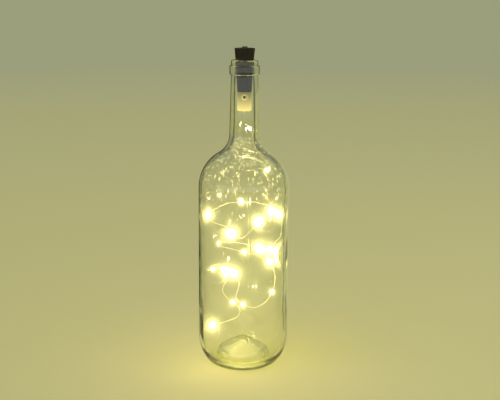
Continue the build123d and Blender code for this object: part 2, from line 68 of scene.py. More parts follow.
# The string's way, from the stopper's seal down into the bottle. The number beside a point is the
# shine of the light in the middle of the run that starts there, or 0 where the run carries none.
ROUTE = [
    ((0, 0, 0.25855), 0.0),
    ((0, 0, 0.25245), 0.0),
    ((0.002, -0.001, 0.2465), 0.6),
    ((0.0085, -0.001, 0.2365), 0.0),
    ((0.0095, 0.0015, 0.224), 0.0),
    ((0.022, 0.0095, 0.207), 1.0),
    ((0.0265, 0.0135, 0.189), 0.0),
    ((0.0255, 0.0145, 0.172), 0.0),
    ((0.027, 0.018, 0.163), 1.8),
    ((0.029, 0.009, 0.148), 0.0),
    ((0.026, -0.008, 0.149), 0.0),
    ((0.019, -0.018, 0.160), 1.8),
    ((0.009, -0.028, 0.147), 0.0),
    ((0.001, -0.036, 0.140), 0.0),
    ((-0.005, -0.029, 0.137), 1.8),
    ((-0.016, -0.018, 0.147), 0.0),
    ((-0.031, -0.015, 0.150), 0.0),
    ((-0.037, -0.001, 0.151), 1.8),
    ((-0.034, 0.018, 0.153), 0.0),
    ((-0.024, 0.030, 0.156), 0.0),
    ((-0.011, 0.036, 0.159), 1.0),
    ((0.009, 0.036, 0.160), 0.0),
    ((0.025, 0.029, 0.159), 0.0),
    ((0.036, 0.016, 0.158), 1.8),
    ((0.039, -0.005, 0.149), 0.0),
    ((0.037, -0.013, 0.137), 0.0),
    ((0.031, -0.014, 0.129), 1.8),
    ((0.022, -0.010, 0.114), 0.0),
    ((0.020, 0.005, 0.110), 0.0),
    ((0.025, 0.020, 0.112), 1.8),
    ((0.010, 0.032, 0.114), 0.0),
    ((-0.007, 0.030, 0.118), 0.0),
    ((-0.022, 0.018, 0.122), 1.0),
    ((-0.026, -0.003, 0.124), 0.0),
    ((-0.020, -0.022, 0.127), 0.0),
    ((-0.009, -0.035, 0.128), 1.0),
    ((0.011, -0.035, 0.122), 0.0),
    ((0.023, -0.019, 0.119), 0.0),
    ((0.025, -0.001, 0.111), 1.8),
    ((0.031, 0.011, 0.098), 0.0),
    ((0.034, 0.004, 0.092), 0.0),
    ((0.0335, -0.006, 0.0845), 1.0),
    ((0.025, -0.018, 0.0715), 0.0),
    ((0.017, -0.030, 0.069), 0.0),
    ((0.008, -0.036, 0.068), 1.0),
    ((-0.008, -0.037, 0.077), 0.0),
    ((-0.005, -0.031, 0.086), 0.0),
    ((-0.003, -0.023, 0.093), 1.8),
    ((-0.014, -0.011, 0.104), 0.0),
    ((-0.016, 0.002, 0.099), 0.0),
    ((-0.018, 0.012, 0.096), 0.0),
    ((-0.024, 0.017, 0.094), 1.0),
    ((-0.036, 0.012, 0.093), 0.0),
    ((-0.037, 0.000, 0.096), 0.0),
    ((-0.033, -0.012, 0.104), 0.0),
    ((-0.019, -0.018, 0.110), 1.8),
    ((-0.014, -0.026, 0.095), 0.0),
    ((-0.021, -0.030, 0.087), 0.0),
    ((-0.017, -0.034, 0.079), 1.0),
    ((-0.002, -0.038, 0.070), 0.0),
    ((-0.004, -0.037, 0.060), 0.0),
    ((-0.014, -0.034, 0.055), 0.0),
    ((-0.023, -0.027, 0.049), 1.8),
    ((-0.0365, -0.013, 0.041), 0.0),
    ((-0.038, 0.001, 0.033), 0.0),
]
ROUTE_ORDER = 3
ROUTE_STEPS = 24
MOVING_LIGHTS = 2  # lights from the top that are pieces of their own
STRING_FOOT = 0.220  # the string below this height stays in the bottle
STRAND_SIDES = 6
DROP_SEGMENTS = 18
DROP_RINGS = 12
LUMP_SCALE = 420.0
# Painted glow on the wire below this height, fading in over the next length
PAINTED_WIRE_GLOW_TOP = 0.185  # below this height the lights lie close together
PAINTED_WIRE_GLOW_FADE = 0.025
PAINTED_WIRE_GLOW_STRENGTH = 0.55

# Shine in the air. A profile gives strengths in the middle, and how steeply each falls.
HALO_RADIUS = 0.0105
HALO_PROFILE = [(2.0, 40.0), (0.32, 10.0), (0.05, 3.0)]
GLOW_RADIUS = 0.040
GLOW_HEIGHTS = (0.050, 0.085, 0.120, 0.155)
GLOW_PROFILE = [(0.09, 1.0)]

# Meshes
AXIS_REACH = 1e-6
ROUND_STEPS = 6
ROUND_SHARE = 0.49  # largest share of a run that the round of one corner takes
CURVE_STEPS = 20
HEEL_STEPS = 24
SHARP_ANGLE = radians(40)

# Noise of the blown wall and of the pits: squash in height, and share and scale of its finer part
WAVE_SQUASH = 0.6
FINE_WAVE = 0.35
FINE_WAVE_SCALE = 2.4
PIT_SQUASH = 0.6
COARSE_PIT = 0.65
FINE_PIT = 0.35
FINE_PIT_SCALE = 2.7
PIT_START = 0.12
PIT_SPAN = 0.3

# Grain that the mottled finishes share
FINE_GRAIN = 5.3  # the finer noise has this many times the coarse one's scale
COARSE_SHARE = 0.6
FINE_SHARE = 0.4
GRAIN_LIMITS = (0.36, 0.64)
FINE_BUMP = 0.00001

# Widths of the dark lines painted along the glass's outlines: painted shade
LEAST_WIDTH = 1e-6  # stands for none, where a fade needs some width
OUTLINE_CORE = 0.5  # full share of an outline's width, before it fades
INNER_OUTLINE = 0.0018
INNER_HEEL_OUTLINE = 0.0008
NECK_OUTLINE = 0.0008
BODY_OUTLINE = 0.0010
COLLAR_OUTLINE = 0.0014
HEEL_OUTLINE = 0.012
HEEL_LINE_TOP = 0.011
HEEL_LINE_RISE = 0.010
LEVEL_NORMAL = 0.95  # a face whose normal rises more than this counts as level
STEEP_SPAN = 0.2
EDGE_NORMAL = 0.35  # a face whose normal rises less than this counts as upright
LEAST_RIPPLE = 0.1

# Finish of the glass, with limits of its noises
GLASS_IOR = 1.5
GLASS_DENSITY = 30.0
SMEAR_SCALE = 38.0
SMEAR_LIMITS = (0.45, 0.75)
SMEAR_ROUGHNESS = 0.04
SCUFF_ROUGHNESS = 0.45
RIPPLE_SQUASH = (1.0, 1.0, 0.4)
RIPPLE_SCALE = 270.0
RIPPLE_DEPTH = 0.00022
# Painted light in the glass: a glow on the base, and glints on the collar's lower edge and the lip's top
# edge
BASE_GLOW = 0.8
COLLAR_GLINT = 5.0
LIP_GLINT = 0.5
GLINT_FACING = (0.62, 0.80)
GLOW_LIMITS = (0.42, 0.6)
LEAST_GLOW = 0.1
# Painted sparks of light in the shoulder's glass
PAINTED_SPARK_SCALE = 480.0
PAINTED_SPARK_CHANCE = 0.55  # cells whose chance is below this stay dark
PAINTED_SPARK_REACH = 0.62
PAINTED_SPARK_CORE = 0.4
PAINTED_SPARK_STRENGTH = 0.9
PAINTED_SPARK_RIPPLES = (0.38, 0.75)
PAINTED_SPARK_SMEARS = (0.42, 0.56)

# Painted light in the battery cap: a glow that falls off towards the top, and a painted bright ring round
# the screw
CAP_TOP_GLOW = 0.15
CAP_GLOW_FALL = 1.5
CAP_GLOW_STRENGTH = 1.05
SCREW_RING = (0.0026, 0.0032)
SCREW_RING_GLOW = 0.35

# Stage
LIGHT_CLAMP = 40.0
FLOOR_CORNERS = 64
# Painted pool of warm light on the floor, fading out between these distances
FLOOR_FADE = (0.3, 4.0)
HORIZON_SHARE = 0.7
ZENITH = (0.30, 0.30, 0.22)
ZENITH_HEIGHT = 0.9
CARD_STEPS = 24
PALE_CARD = (0.88, 1.0, 0.96)
PALE_CARD_STRENGTH = 1.4
PALE_CARD_FOOT = (0.095, 0.14)
PALE_CARD_TOP = 0.44
EDGE_CARD_DISTANCE = 0.2
EDGE_CARDS = [
    ("dark_card", "ShaderNodeBsdfDiffuse", (0.10, 0.10, 0.05), 0.33, (92, 170)),
    ("warm_card", "ShaderNodeEmission", (0.8, 0.8, 0.36), 0.262, (15, 88)),
]
SUN_FROM = (-0.55, -0.45, 1.0)
SUN_STRENGTH = 1.7
SUN_SPREAD = 50
FILL_FROM = (1.1, -0.5, 1.2)
FILL_SIZE = 1.0
FILL_POWER = 5.0
SENSOR_WIDTH = 36.0
NEAREST_SEEN = 0.01


def size(name, description, default):
    """Length property in metres."""
    return FloatProperty(name=name, description=description, default=default, min=0.0, precision=5,
                         subtype="DISTANCE", unit="LENGTH")


def number(name, description, default):
    """Plain number property."""
    return FloatProperty(name=name, description=description, default=default, precision=3)


def count(name, description, default):
    """Whole number property."""
    return IntProperty(name=name, description=description, default=default, min=3)


def colour(name, description, default):
    """Colour property, linear red, green and blue."""
    return FloatVectorProperty(name=name, description=description, default=default, size=3, min=0.0,
                               max=1.0, subtype="COLOR")


def box_radius(node):
    """Half width of a round node about the Z axis."""
    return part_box(node)[1].x


class BottleSizes(bpy.types.PropertyGroup):
    body_radius: size("Body radius", "Outside of the straight side", box_radius("glass_bottle"))
    body_length: size("Body length", "Straight side between heel and shoulder", 0.1531)
    heel_width: size("Heel width", "How far the heel comes in from the side", 0.020)
    heel_height: size("Heel height", "Height of the heel's curve", 0.030)
    shoulder_radius: size("Shoulder radius", "Round of the shoulder", 0.0394)
    neck_curve: size("Neck curve", "Hollow curve between shoulder and neck", 0.0215)
    neck_base: size("Neck base radius", "Outside of the neck at its foot", 0.0147)
    neck_top: size("Neck top radius", "Outside of the neck under the collar", 0.0133)
    neck_length: size("Neck length", "From the foot of the neck to the collar", 0.0583)
    collar_radius: size("Collar radius", "Outside of the collar", 0.01475)
    collar_height: size("Collar height", "Height of the collar", 0.0087)
    collar_round: size("Collar round", "Round of the collar's edges", 0.0018)
    collar_corner: size("Collar corner", "Round where the collar meets neck and lip", 0.0005)
    lip_radius: size("Lip radius", "Outside of the lip", 0.0133)
    lip_height: size("Lip height", "Height of the lip over the collar", 0.0057)
    lip_round: size("Lip round", "Round of the lip's outer edge", 0.0022)
    mouth_radius: size("Mouth radius", "Bore at the lip", 0.0090)
    mouth_round: size("Mouth round", "Round of the lip's inner edge", 0.0012)
    mouth_depth: size("Mouth depth", "The bore widens from the lip to here", 0.024)
    bore_radius: size("Bore radius", "Bore under the mouth", 0.0102)
    bore_round: size("Bore round", "Easing of the bore where its taper changes", 0.040)
    body_wall: size("Body wall", "Glass of the straight side", 0.0025)
    neck_wall: size("Neck wall", "Glass at the foot of the neck", 0.0039)
    ring_width: size("Ring width", "Flat ring that the bottle stands on", 0.002)
    punt_lean: size("Punt lean", "How far the punt's wall leans in", 0.0025)
    punt_wall_height: size("Punt wall height", "Height of the punt's steep wall", 0.011)
    punt_tip: size("Punt tip", "Where the sides of the punt's cone would meet", 0.0228)
    punt_cap: size("Punt cap", "Radius of the cone's rounded top", 0.003)
    punt_round: size("Punt round", "Round between the punt's wall and cone", 0.005)
    punt_foot_round: size("Punt foot round", "Round between ring and punt", 0.0012)
    floor_wall: size("Floor wall", "Glass over the punt", 0.006)
    heel_wall: size("Heel wall", "Glass over the ring", 0.007)
    valley_offset: size("Valley offset", "Lowest inside circle, outside the ring", 0.004)
    valley_flat: size("Valley flat", "Flat of the lowest inside circle", 0.002)
    valley_round: size("Valley round", "Round of the lowest inside circle", 0.003)
    floor_spread: size("Floor spread", "The floor's cone is this much wider than the punt's", 0.003)
    wave_depth: size("Wave depth", "Unevenness of the blown inside wall", 0.00034)
    wave_length: size("Wave length", "Spacing of the waves in the inside wall", 0.020)
    wall_drift: size("Wall drift", "How far the blown inside leans to one side", 0.001)
    seam_height: size("Seam height", "Mould seam on the outside", 0.00012)
    seam_width: size("Seam width", "Width of the mould seam", 0.0011)
    seam_turn: number("Seam turn", "Angle of the mould seam about the bottle, in degrees", -83.0)
    segments: count("Segments", "Faces round the bottle", 144)
    ring_step: size("Ring step", "Longest stretch between two rings of the mesh", 0.0025)


class StopperSizes(bpy.types.PropertyGroup):
    head_radius: size("Head radius", "Top of the cork", box_radius("cork_shell"))
    head_taper: number("Head taper", "Gain in radius for each metre of height", 0.1)
    knee_depth: size("Knee depth", "The steep taper ends this far below the lip", 0.005)
    head_proud: size("Head proud", "Cork above the lip", 0.011)
    base_radius: size("Base radius", "Cork where it meets the cap", 0.0072)
    bore: size("Cell bore", "Bore for the cells", 0.0061)
    ledge: size("Ledge", "Ledge that the board rests against", 0.0005)
    top_wall: size("Top wall", "Cork over the switch", 0.0032)
    switch_depth: size("Switch depth", "From the cork's ceiling to the board's top", 0.00615)
    button_hole: size("Button hole", "Radius of the hole for the button", 0.0029)
    edge_round: size("Edge round", "Round of the cork's top edge", 0.0005)
    lead_slot: size("Lead slot", "Width of the groove for the lead beside the cells", 0.0007)
    lead_depth: size("Lead depth", "Reach of that groove from the middle", 0.0067)
    pit_depth: size("Pit depth", "Depth of the pits in the cork", 0.00022)
    pit_length: size("Pit length", "Spacing of the pits", 0.0021)
    button_radius: size("Button radius", "Push button", 0.0027)
    button_round: size("Button round", "Round of the button's edge", 0.0006)
    button_crown: size("Button crown", "Rise of the button's domed top", 0.0002)
    flange_height: size("Flange height", "Flange that keeps the button in", 0.0008)
    segments: count("Segments", "Faces round the cork", 176)
    ring_step: size("Ring step", "Longest stretch between two rings of the mesh", 0.0004)


class StringSizes(bpy.types.PropertyGroup):
    diameter: size("Diameter", "Both strands of the wire together", 0.0007)
    strand: size("Strand radius", "Radius of one strand", 0.00019)
    pitch: size("Pitch", "Length of one turn of the pair", 0.007)
    step: size("Step", "Spacing of the rings along a strand", 0.0006)
    drop_length: size("Drop length", "Resin drop along the wire", 0.0042)
    drop_radius: size("Drop radius", "Resin drop across the wire", 0.00135)
    lump: size("Lump", "Unevenness of a resin drop", 0.00022)


class FinishColours(bpy.types.PropertyGroup):
    glass: colour("Glass", "Light that passes the bottle's surface", (0.985, 0.99, 0.955))
    # Glass rim: painted shade, the dark colour of the lines painted along the bottle's outlines
    painted_rim_shade: colour("Glass rim", "Light that passes at the bottle's outlines", (0.016, 0.022, 0.006))
    glass_depth: colour("Glass depth", "Tint that grows with the glass's thickness", (0.84, 0.87, 0.25))
    # Painted glow: colour of the light painted onto the glass's base, collar and lip, and onto the wire
    painted_glow: colour("Glass glow", "Light that leaves the glass at its edges and base", (1.0, 0.92, 0.45))
    cork: colour("Cork", "Cork between its flecks", (0.024, 0.017, 0.010))
    cork_dark: colour("Dark cork", "Flecks and pits of the cork", (0.007, 0.005, 0.004))
    cap: colour("Cap", "Cream moulding of the battery cap", (0.20, 0.165, 0.035))
    # Cap glow: colour of the light painted onto the cap
    cap_painted_glow: colour("Cap glow", "Light that the cap takes up from the string", (1.0, 0.80, 0.26))
    button: colour("Button", "Push button", (0.07, 0.075, 0.06))
    wire: colour("Wire", "Enamelled wire", (0.98, 0.84, 0.50))
    light: colour("Light", "Warm white of the lights", (1.0, 0.80, 0.42))
    # Floor near the bottle and far away: the warmer, brighter colour near the bottle is a painted pool of
    # the string's light
    floor: colour("Floor", "Floor near the bottle", (0.56, 0.53, 0.26))
    far_floor: colour("Far floor", "Floor far behind the bottle", (0.44, 0.46, 0.30))
    halo: colour("Halo", "Shine in the air round a light", (1.0, 0.88, 0.34))


class StageSettings(bpy.types.PropertyGroup):
    camera_distance: size("Camera distance", "Camera in front of the bottle's middle", 0.9587)
    camera_height: size("Camera height", "Camera over the floor", 0.3732)
    camera_pitch: number("Camera pitch", "Tilt of the camera below level, in degrees", 12.0)
    camera_roll: number("Camera roll", "Turn of the camera about its view, in degrees", 0.4)
    camera_lens: number("Camera lens", "Focal length in millimetres on a 36 mm sensor", 70.75)
    camera_shift: number("Camera shift", "Sideways shift as a share of the picture's width", 0.0125)
    light_power: number("Light power", "Strength of the string's lights", 170.0)
    floor_radius: size("Floor radius", "Reach of the floor", 80.0)
    card_distance: size("Card distance", "From the bottle to the pale card that its front mirrors", 1.6)
    card_height: size("Card height", "Height of that card", 0.65)
    card_turn: number("Card turn", "Half the angle that the card spans, in degrees", 75.0)


SETTINGS = {
    "bottle_light_glass": BottleSizes,
    "bottle_light_stopper": StopperSizes,
    "bottle_light_string": StringSizes,
    "bottle_light_colours": FinishColours,
    "bottle_light_stage": StageSettings,
}


def settings(key):
    """Property group of this scene."""
    return getattr(bpy.context.scene, f"bottle_light_{key}")


# Outlines and meshes

def held(value):
    """The value, kept between 0 and 1."""
    return max(0.0, min(1.0, value))


def arc(centre, radii, start, sweep, steps):
    """Points of a circular or elliptical arc, with angles in degrees."""
    angles = [radians(start + sweep * step / steps) for step in range(steps + 1)]
    return [(centre[0] + radii[0] * cos(angle), centre[1] + radii[1] * sin(angle)) for angle in angles]


def rounded(corners, radii, steps=ROUND_STEPS):
    """Straight lines between corners, each inner corner turned into an arc as large as its runs allow."""
    points = [corners[0]]
    for before, corner, after, radius in zip(corners, corners[1:], corners[2:], radii):
        middle = Vector(corner)
        back, onward = Vector(before) - middle, Vector(after) - middle
        half = back.angle(onward) / 2
        reach = min(radius / tan(half), ROUND_SHARE * min(back.length, onward.length))
        start, end = middle + back.normalized() * reach, middle + onward.normalized() * reach
        centre = middle + (start + end - 2 * middle).normalized() * reach / cos(half)
        first, last = start - centre, end - centre
        turn = degrees(atan2(first.y, first.x))
        sweep = degrees(atan2(first.x * last.y - first.y * last.x, first.dot(last)))
        points += arc(centre, (first.length, first.length), turn, sweep, steps)
    points.append(corners[-1])
    return points


def spaced(points, step):
    """The same outline with no stretch longer than this, and no point twice."""
    result = [points[0]]
    for before, after in zip(points, points[1:]):
        a, b = Vector(before), Vector(after)
        if (b - a).length < AXIS_REACH:
            continue
        pieces = int((b - a).length / step) + 1
        result += [tuple(a.lerp(b, part / pieces)) for part in range(1, pieces + 1)]
    return result


def lathe(name, section, angles, closed=False, shape=None):
    """Turned mesh about Z from a section of (radius, height) points. An open section ends on the axis."""
    mesh = bmesh.new()
    rings = []
    for index, (radius, height) in enumerate(section):
        turns = [0.0] if radius < AXIS_REACH else angles
        ring = []
        for angle in turns:
            place = Vector((radius * cos(angle), radius * sin(angle), height))
            ring.append(mesh.verts.new(shape(place, index) if shape else place))
        rings.append(ring)
    pairs = list(zip(rings, rings[1:])) + ([(rings[-1], rings[0])] if closed else [])
    for low, high in pairs:
        for step in range(len(angles)):
            corners = [low[step % len(low)], low[(step + 1) % len(low)]]
            corners += [high[(step + 1) % len(high)], high[step % len(high)]]
            mesh.faces.new(list(dict.fromkeys(corners)))
    bmesh.ops.recalc_face_normals(mesh, faces=mesh.faces)
    data = bpy.data.meshes.new(name)
    mesh.to_mesh(data)
    mesh.free()
    return add_piece(name, data)


def add_object(name, data):
    """Object in the scene, at the origin."""
    made = bpy.data.objects.new(name, data)
    bpy.context.scene.collection.objects.link(made)
    return made


def hide_from(thing, *rays):
    """Keep a thing out of what these kinds of ray show."""
    for ray in rays:
        setattr(thing, "visible_" + ray, False)


def add_piece(name, data):
    """Object of a mesh or a curve. A mesh is shaded smooth but for its sharp edges."""
    if isinstance(data, bpy.types.Mesh):
        data.polygons.foreach_set("use_smooth", [True] * len(data.polygons))
        data.set_sharp_from_angle(angle=SHARP_ANGLE)
    return add_object(name, data)


def even_turns(segments, start=0.0):
    """Evenly spaced angles of a full turn."""
    return [start + 2 * pi * step / segments for step in range(segments)]


def dress(piece, material):
    """Give a piece or a CAD node this material alone."""
    piece.data.materials.clear()
    piece.data.materials.append(material)


# Node trees

def add_node(tree, kind, sockets=None, **traits):
    """New node with its traits, its inputs set to values or joined to other nodes' outputs."""
    made = tree.nodes.new(kind)
    for trait, value in traits.items():
        setattr(made, trait, value)
    for key, value in (sockets or {}).items():
        if isinstance(value, bpy.types.NodeSocket):
            tree.links.new(value, made.inputs[key])
        else:
            made.inputs[key].default_value = value
    return made


def math(tree, operation, *values):
    """Output of a Math node."""
    return add_node(tree, "ShaderNodeMath", dict(enumerate(values)), operation=operation).outputs[0]


def vector_math(tree, operation, *values):
    """Output of a Vector Math node."""
    made = add_node(tree, "ShaderNodeVectorMath", dict(enumerate(values)), operation=operation)
    return made.outputs["Value" if operation == "LENGTH" else "Vector"]


def scaled(tree, direction, reach):
    """Vector along a direction, as long as the reach says."""
    sockets = {0: direction, "Scale": reach}
    return add_node(tree, "ShaderNodeVectorMath", sockets, operation="SCALE").outputs["Vector"]


def mix_colour(tree, factor, first, second):
    """Output of a colour mix."""
    return add_node(tree, "ShaderNodeMix", {0: factor, 6: first, 7: second}, data_type="RGBA").outputs[2]


def map_range(tree, value, low, high, new_low=0.0, new_high=1.0):
    """Value moved from one range to another, and held inside it."""
    sockets = {"Value": value, "From Min": low, "From Max": high, "To Min": new_low, "To Max": new_high}
    return add_node(tree, "ShaderNodeMapRange", sockets).outputs["Result"]


def noise_value(tree, place, scale, detail):
    """Output of a noise texture."""
    sockets = {"Vector": place, "Scale": scale, "Detail": detail}
    return add_node(tree, "ShaderNodeTexNoise", sockets).outputs["Fac"]


def piece_place(tree):
    """Place on a piece, in metres."""
    return add_node(tree, "ShaderNodeTexCoord").outputs["Object"]


def upward(tree, place):
    """Height of a place or a direction."""
    return add_node(tree, "ShaderNodeSeparateXYZ", {"Vector": place}).outputs["Z"]


def point_value(tree, name):
    """Value that a mesh holds for each of its points."""
    return add_node(tree, "ShaderNodeAttribute", attribute_name=name).outputs["Fac"]


def squareness(tree):
    """How squarely a surface meets the view, from 0 at its outline to 1."""
    return math(tree, "SUBTRACT", 1.0, add_node(tree, "ShaderNodeLayerWeight").outputs["Facing"])


def opaque(rgb):
    """Colour with full alpha, as node sockets take it."""
    return (*rgb, 1.0)


def darker(rgb, share=0.8):
    """The same colour with less light."""
    return tuple(part * share for part in rgb)


def new_group(name, kind, inputs, outputs):
    """Node group with named sockets, given as (name, socket type, default), and its two ends."""
    tree = bpy.data.node_groups.new(name, kind)
    for label, socket_type, default in inputs:
        socket = tree.interface.new_socket(label, in_out="INPUT", socket_type="NodeSocket" + socket_type)
        if default is not None:
            socket.default_value = default
    for label, socket_type in outputs:
        tree.interface.new_socket(label, in_out="OUTPUT", socket_type="NodeSocket" + socket_type)
    return tree, add_node(tree, "NodeGroupInput").outputs, add_node(tree, "NodeGroupOutput").inputs


def grain_group():
    """Shader group for mottled surfaces: a colour, a roughness and a height that vary over the surface."""
    if "surface_grain" in bpy.data.node_groups:
        return bpy.data.node_groups["surface_grain"]
    tree, given, result = new_group("surface_grain", "ShaderNodeTree", [
        ("Colour", "Color", (0.5, 0.5, 0.5, 1.0)),
        ("Dark Colour", "Color", (0.3, 0.3, 0.3, 1.0)),
        ("Spacing", "Float", 0.002),
        ("Stretch", "Float", 1.0),
        ("Roughness", "Float", 0.5),
        ("Roughness Spread", "Float", 0.1),
    ], [("Colour", "Color"), ("Roughness", "Float"), ("Height", "Float")])
    stretch = add_node(tree, "ShaderNodeCombineXYZ", {"X": 1.0, "Y": 1.0, "Z": given["Stretch"]})
    place = vector_math(tree, "MULTIPLY", piece_place(tree), stretch.outputs["Vector"])
    scale = math(tree, "DIVIDE", 1.0, given["Spacing"])
    coarse = noise_value(tree, place, scale, detail=4.0)
    fine = noise_value(tree, place, math(tree, "MULTIPLY", scale, FINE_GRAIN), detail=3.0)
    both = math(tree, "ADD", math(tree, "MULTIPLY", coarse, COARSE_SHARE),
                math(tree, "MULTIPLY", fine, FINE_SHARE))
    mottle = map_range(tree, both, *GRAIN_LIMITS)
    spread = math(tree, "MULTIPLY", math(tree, "SUBTRACT", fine, 0.5), given["Roughness Spread"])
    for label, value in (
        ("Colour", mix_colour(tree, mottle, given["Dark Colour"], given["Colour"])),
        ("Roughness", math(tree, "ADD", given["Roughness"], spread)),
        ("Height", both),
    ):
        tree.links.new(value, result[label])
    return tree


# Finishes

def new_material(name):
    """Material without nodes, and its tree."""
    material = bpy.data.materials.new(name)
    material.use_nodes = True
    material.node_tree.nodes.clear()
    return material, material.node_tree


def show(tree, kind, sockets, output="ShaderNodeOutputMaterial"):
    """Make one shader node the whole surface of a material, a lamp or the world."""
    shader = add_node(tree, kind, sockets)
    add_node(tree, output, {"Surface": shader.outputs[0]})


def grained(name, rgb, dark, spacing, roughness, spread=0.12, stretch=1.0, bump=FINE_BUMP, metallic=0.0,
            specular=0.5):
    """Principled material whose colour, roughness and bump come from the shared grain."""
    material, tree = new_material(name)
    grain = add_node(tree, "ShaderNodeGroup", {
        "Colour": opaque(rgb), "Dark Colour": opaque(dark), "Spacing": spacing, "Stretch": stretch,
        "Roughness": roughness, "Roughness Spread": spread,
    }, node_tree=grain_group()).outputs
    raised = add_node(tree, "ShaderNodeBump", {
        "Height": grain["Height"], "Distance": bump, "Strength": 1.0,
    })
    show(tree, "ShaderNodeBsdfPrincipled", {
        "Base Color": grain["Colour"], "Roughness": grain["Roughness"], "Metallic": metallic,
        "Specular IOR Level": specular, "Normal": raised.outputs["Normal"],
    })
    return material


def light_up(material, mask, rgb, strength):
    """Paint light onto a grained material: it gives off light where the mask says."""
    tree = material.node_tree
    shader = tree.nodes["Principled BSDF"]
    tree.links.new(mix_colour(tree, mask, BLACK, opaque(rgb)), shader.inputs["Emission Color"])
    shader.inputs["Emission Strength"].default_value = strength


def painted_outline_mask(tree, place, square):
    """Painted shade: a dark line painted along the glass's outlines, as wide as the mesh says."""
    across = vector_math(tree, "LENGTH", vector_math(tree, "MULTIPLY", place, (1.0, 1.0, 0.0)))
    aside = math(tree, "SQRT", math(tree, "SUBTRACT", 1.0, math(tree, "MULTIPLY", square, square)))
    inset = math(tree, "MULTIPLY", across, math(tree, "SUBTRACT", 1.0, aside))
    width = point_value(tree, "outline")
    return map_range(tree, inset, math(tree, "MULTIPLY", width, OUTLINE_CORE), width, 1.0, 0.0)


def painted_spark_mask(tree, place, ripple, smears):
    """Painted sparks of light, dotted over the shoulder's glass where its ripples are strong."""
    cells = add_node(tree, "ShaderNodeTexVoronoi", {"Vector": place, "Scale": PAINTED_SPARK_SCALE}).outputs
    chance = add_node(tree, "ShaderNodeSeparateColor", {"Color": cells["Color"]}).outputs["Red"]
    reach = map_range(tree, chance, PAINTED_SPARK_CHANCE, 1.0, LEAST_WIDTH, PAINTED_SPARK_REACH)
    core = math(tree, "MULTIPLY", reach, PAINTED_SPARK_CORE)
    spark = map_range(tree, cells["Distance"], core, reach, 1.0, 0.0)
    spark = math(tree, "MULTIPLY", spark, map_range(tree, ripple, *PAINTED_SPARK_RIPPLES, 0.0, PAINTED_SPARK_STRENGTH))
    return math(tree, "MULTIPLY", spark, map_range(tree, smears, *PAINTED_SPARK_SMEARS))


def glass_finish():
    """Clear glass that lets lamps through and tints with its thickness, with painted dark outlines, a
    painted glow on its base, painted glints on collar and lip and painted sparks in the shoulder.
    """
    colours = settings("colours")
    material, tree = new_material("bottle_glass")
    place, square, ripple = piece_place(tree), squareness(tree), point_value(tree, "ripple")
    smears = noise_value(tree, place, SMEAR_SCALE, detail=5.0)
    drawn = vector_math(tree, "MULTIPLY", place, RIPPLE_SQUASH)
    ripples = noise_value(tree, drawn, RIPPLE_SCALE, detail=1.5)
    rippled = add_node(tree, "ShaderNodeBump", {
        "Height": ripples, "Distance": math(tree, "MULTIPLY", ripple, RIPPLE_DEPTH), "Strength": 1.0,
    })
    outer = math(tree, "SUBTRACT", 1.0, add_node(tree, "ShaderNodeNewGeometry").outputs["Backfacing"])
    # Painted light: glow under the base and glints on collar and lip, mottled by the ripples
    base = math(tree, "MULTIPLY", point_value(tree, "glow"), outer)
    edges = math(tree, "MULTIPLY", point_value(tree, "glint"), map_range(tree, square, *GLINT_FACING))
    mottle = map_range(tree, ripples, *GLOW_LIMITS, LEAST_GLOW, 1.0)
    glow = math(tree, "MULTIPLY", math(tree, "ADD", base, edges), mottle)
    # Painted sparks of light added in the shoulder
    glow = math(tree, "ADD", glow, painted_spark_mask(tree, drawn, ripple, smears))
    # Painted shade: dark outlines painted into the glass's colour
    rim = painted_outline_mask(tree, place, square)
    scuffed = math(tree, "MULTIPLY", point_value(tree, "scuff"), SCUFF_ROUGHNESS)
    smeared = map_range(tree, smears, *SMEAR_LIMITS, 0.0, SMEAR_ROUGHNESS)
    shader = add_node(tree, "ShaderNodeBsdfPrincipled", {
        "Base Color": mix_colour(tree, rim, opaque(colours.glass), opaque(colours.painted_rim_shade)),
        "Roughness": math(tree, "MAXIMUM", scuffed, smeared),
        "IOR": GLASS_IOR,
        "Transmission Weight": 1.0,
        "Normal": rippled.outputs["Normal"],
        "Emission Color": mix_colour(tree, glow, BLACK, opaque(colours.painted_glow)),
        "Emission Strength": 1.0,
    })
    material.cycles.emission_sampling = "NONE"
    clear = add_node(tree, "ShaderNodeBsdfTransparent", {"Color": opaque(colours.glass)})
    path = add_node(tree, "ShaderNodeLightPath").outputs
    both = add_node(tree, "ShaderNodeMixShader", {
        0: math(tree, "MAXIMUM", path["Is Shadow Ray"], path["Is Diffuse Ray"]),
        1: shader.outputs["BSDF"],
        2: clear.outputs["BSDF"],
    })
    depth = add_node(tree, "ShaderNodeVolumeAbsorption", {
        "Color": opaque(colours.glass_depth), "Density": GLASS_DENSITY,
    })
    add_node(tree, "ShaderNodeOutputMaterial", {
        "Surface": both.outputs["Shader"], "Volume": depth.outputs["Volume"],
    })
    return material


def light_finish():
    """Resin drop lit from inside."""
    material, tree = new_material("light_resin")
    rgb = opaque(settings("colours").light)
    show(tree, "ShaderNodeBsdfPrincipled", {
        "Base Color": rgb, "Roughness": 0.15, "Emission Color": rgb,
        "Emission Strength": settings("stage").light_power,
    })
    return material


def wire_finish():
    """Varnished copper with a painted glow in the body, below the height under which the lights lie close
    together.
    """
    colours = settings("colours")
    material = grained("string_wire", colours.wire, darker(colours.wire, 0.7), spacing=0.003, roughness=0.3,
                       metallic=0.25)
    material.cycles.emission_sampling = "NONE"
    tree = material.node_tree
    height = upward(tree, piece_place(tree))
    painted_glow_mask = map_range(tree, height, PAINTED_WIRE_GLOW_TOP - PAINTED_WIRE_GLOW_FADE, PAINTED_WIRE_GLOW_TOP, 1.0, 0.0)
    light_up(material, painted_glow_mask, colours.painted_glow, PAINTED_WIRE_GLOW_STRENGTH)
    return material


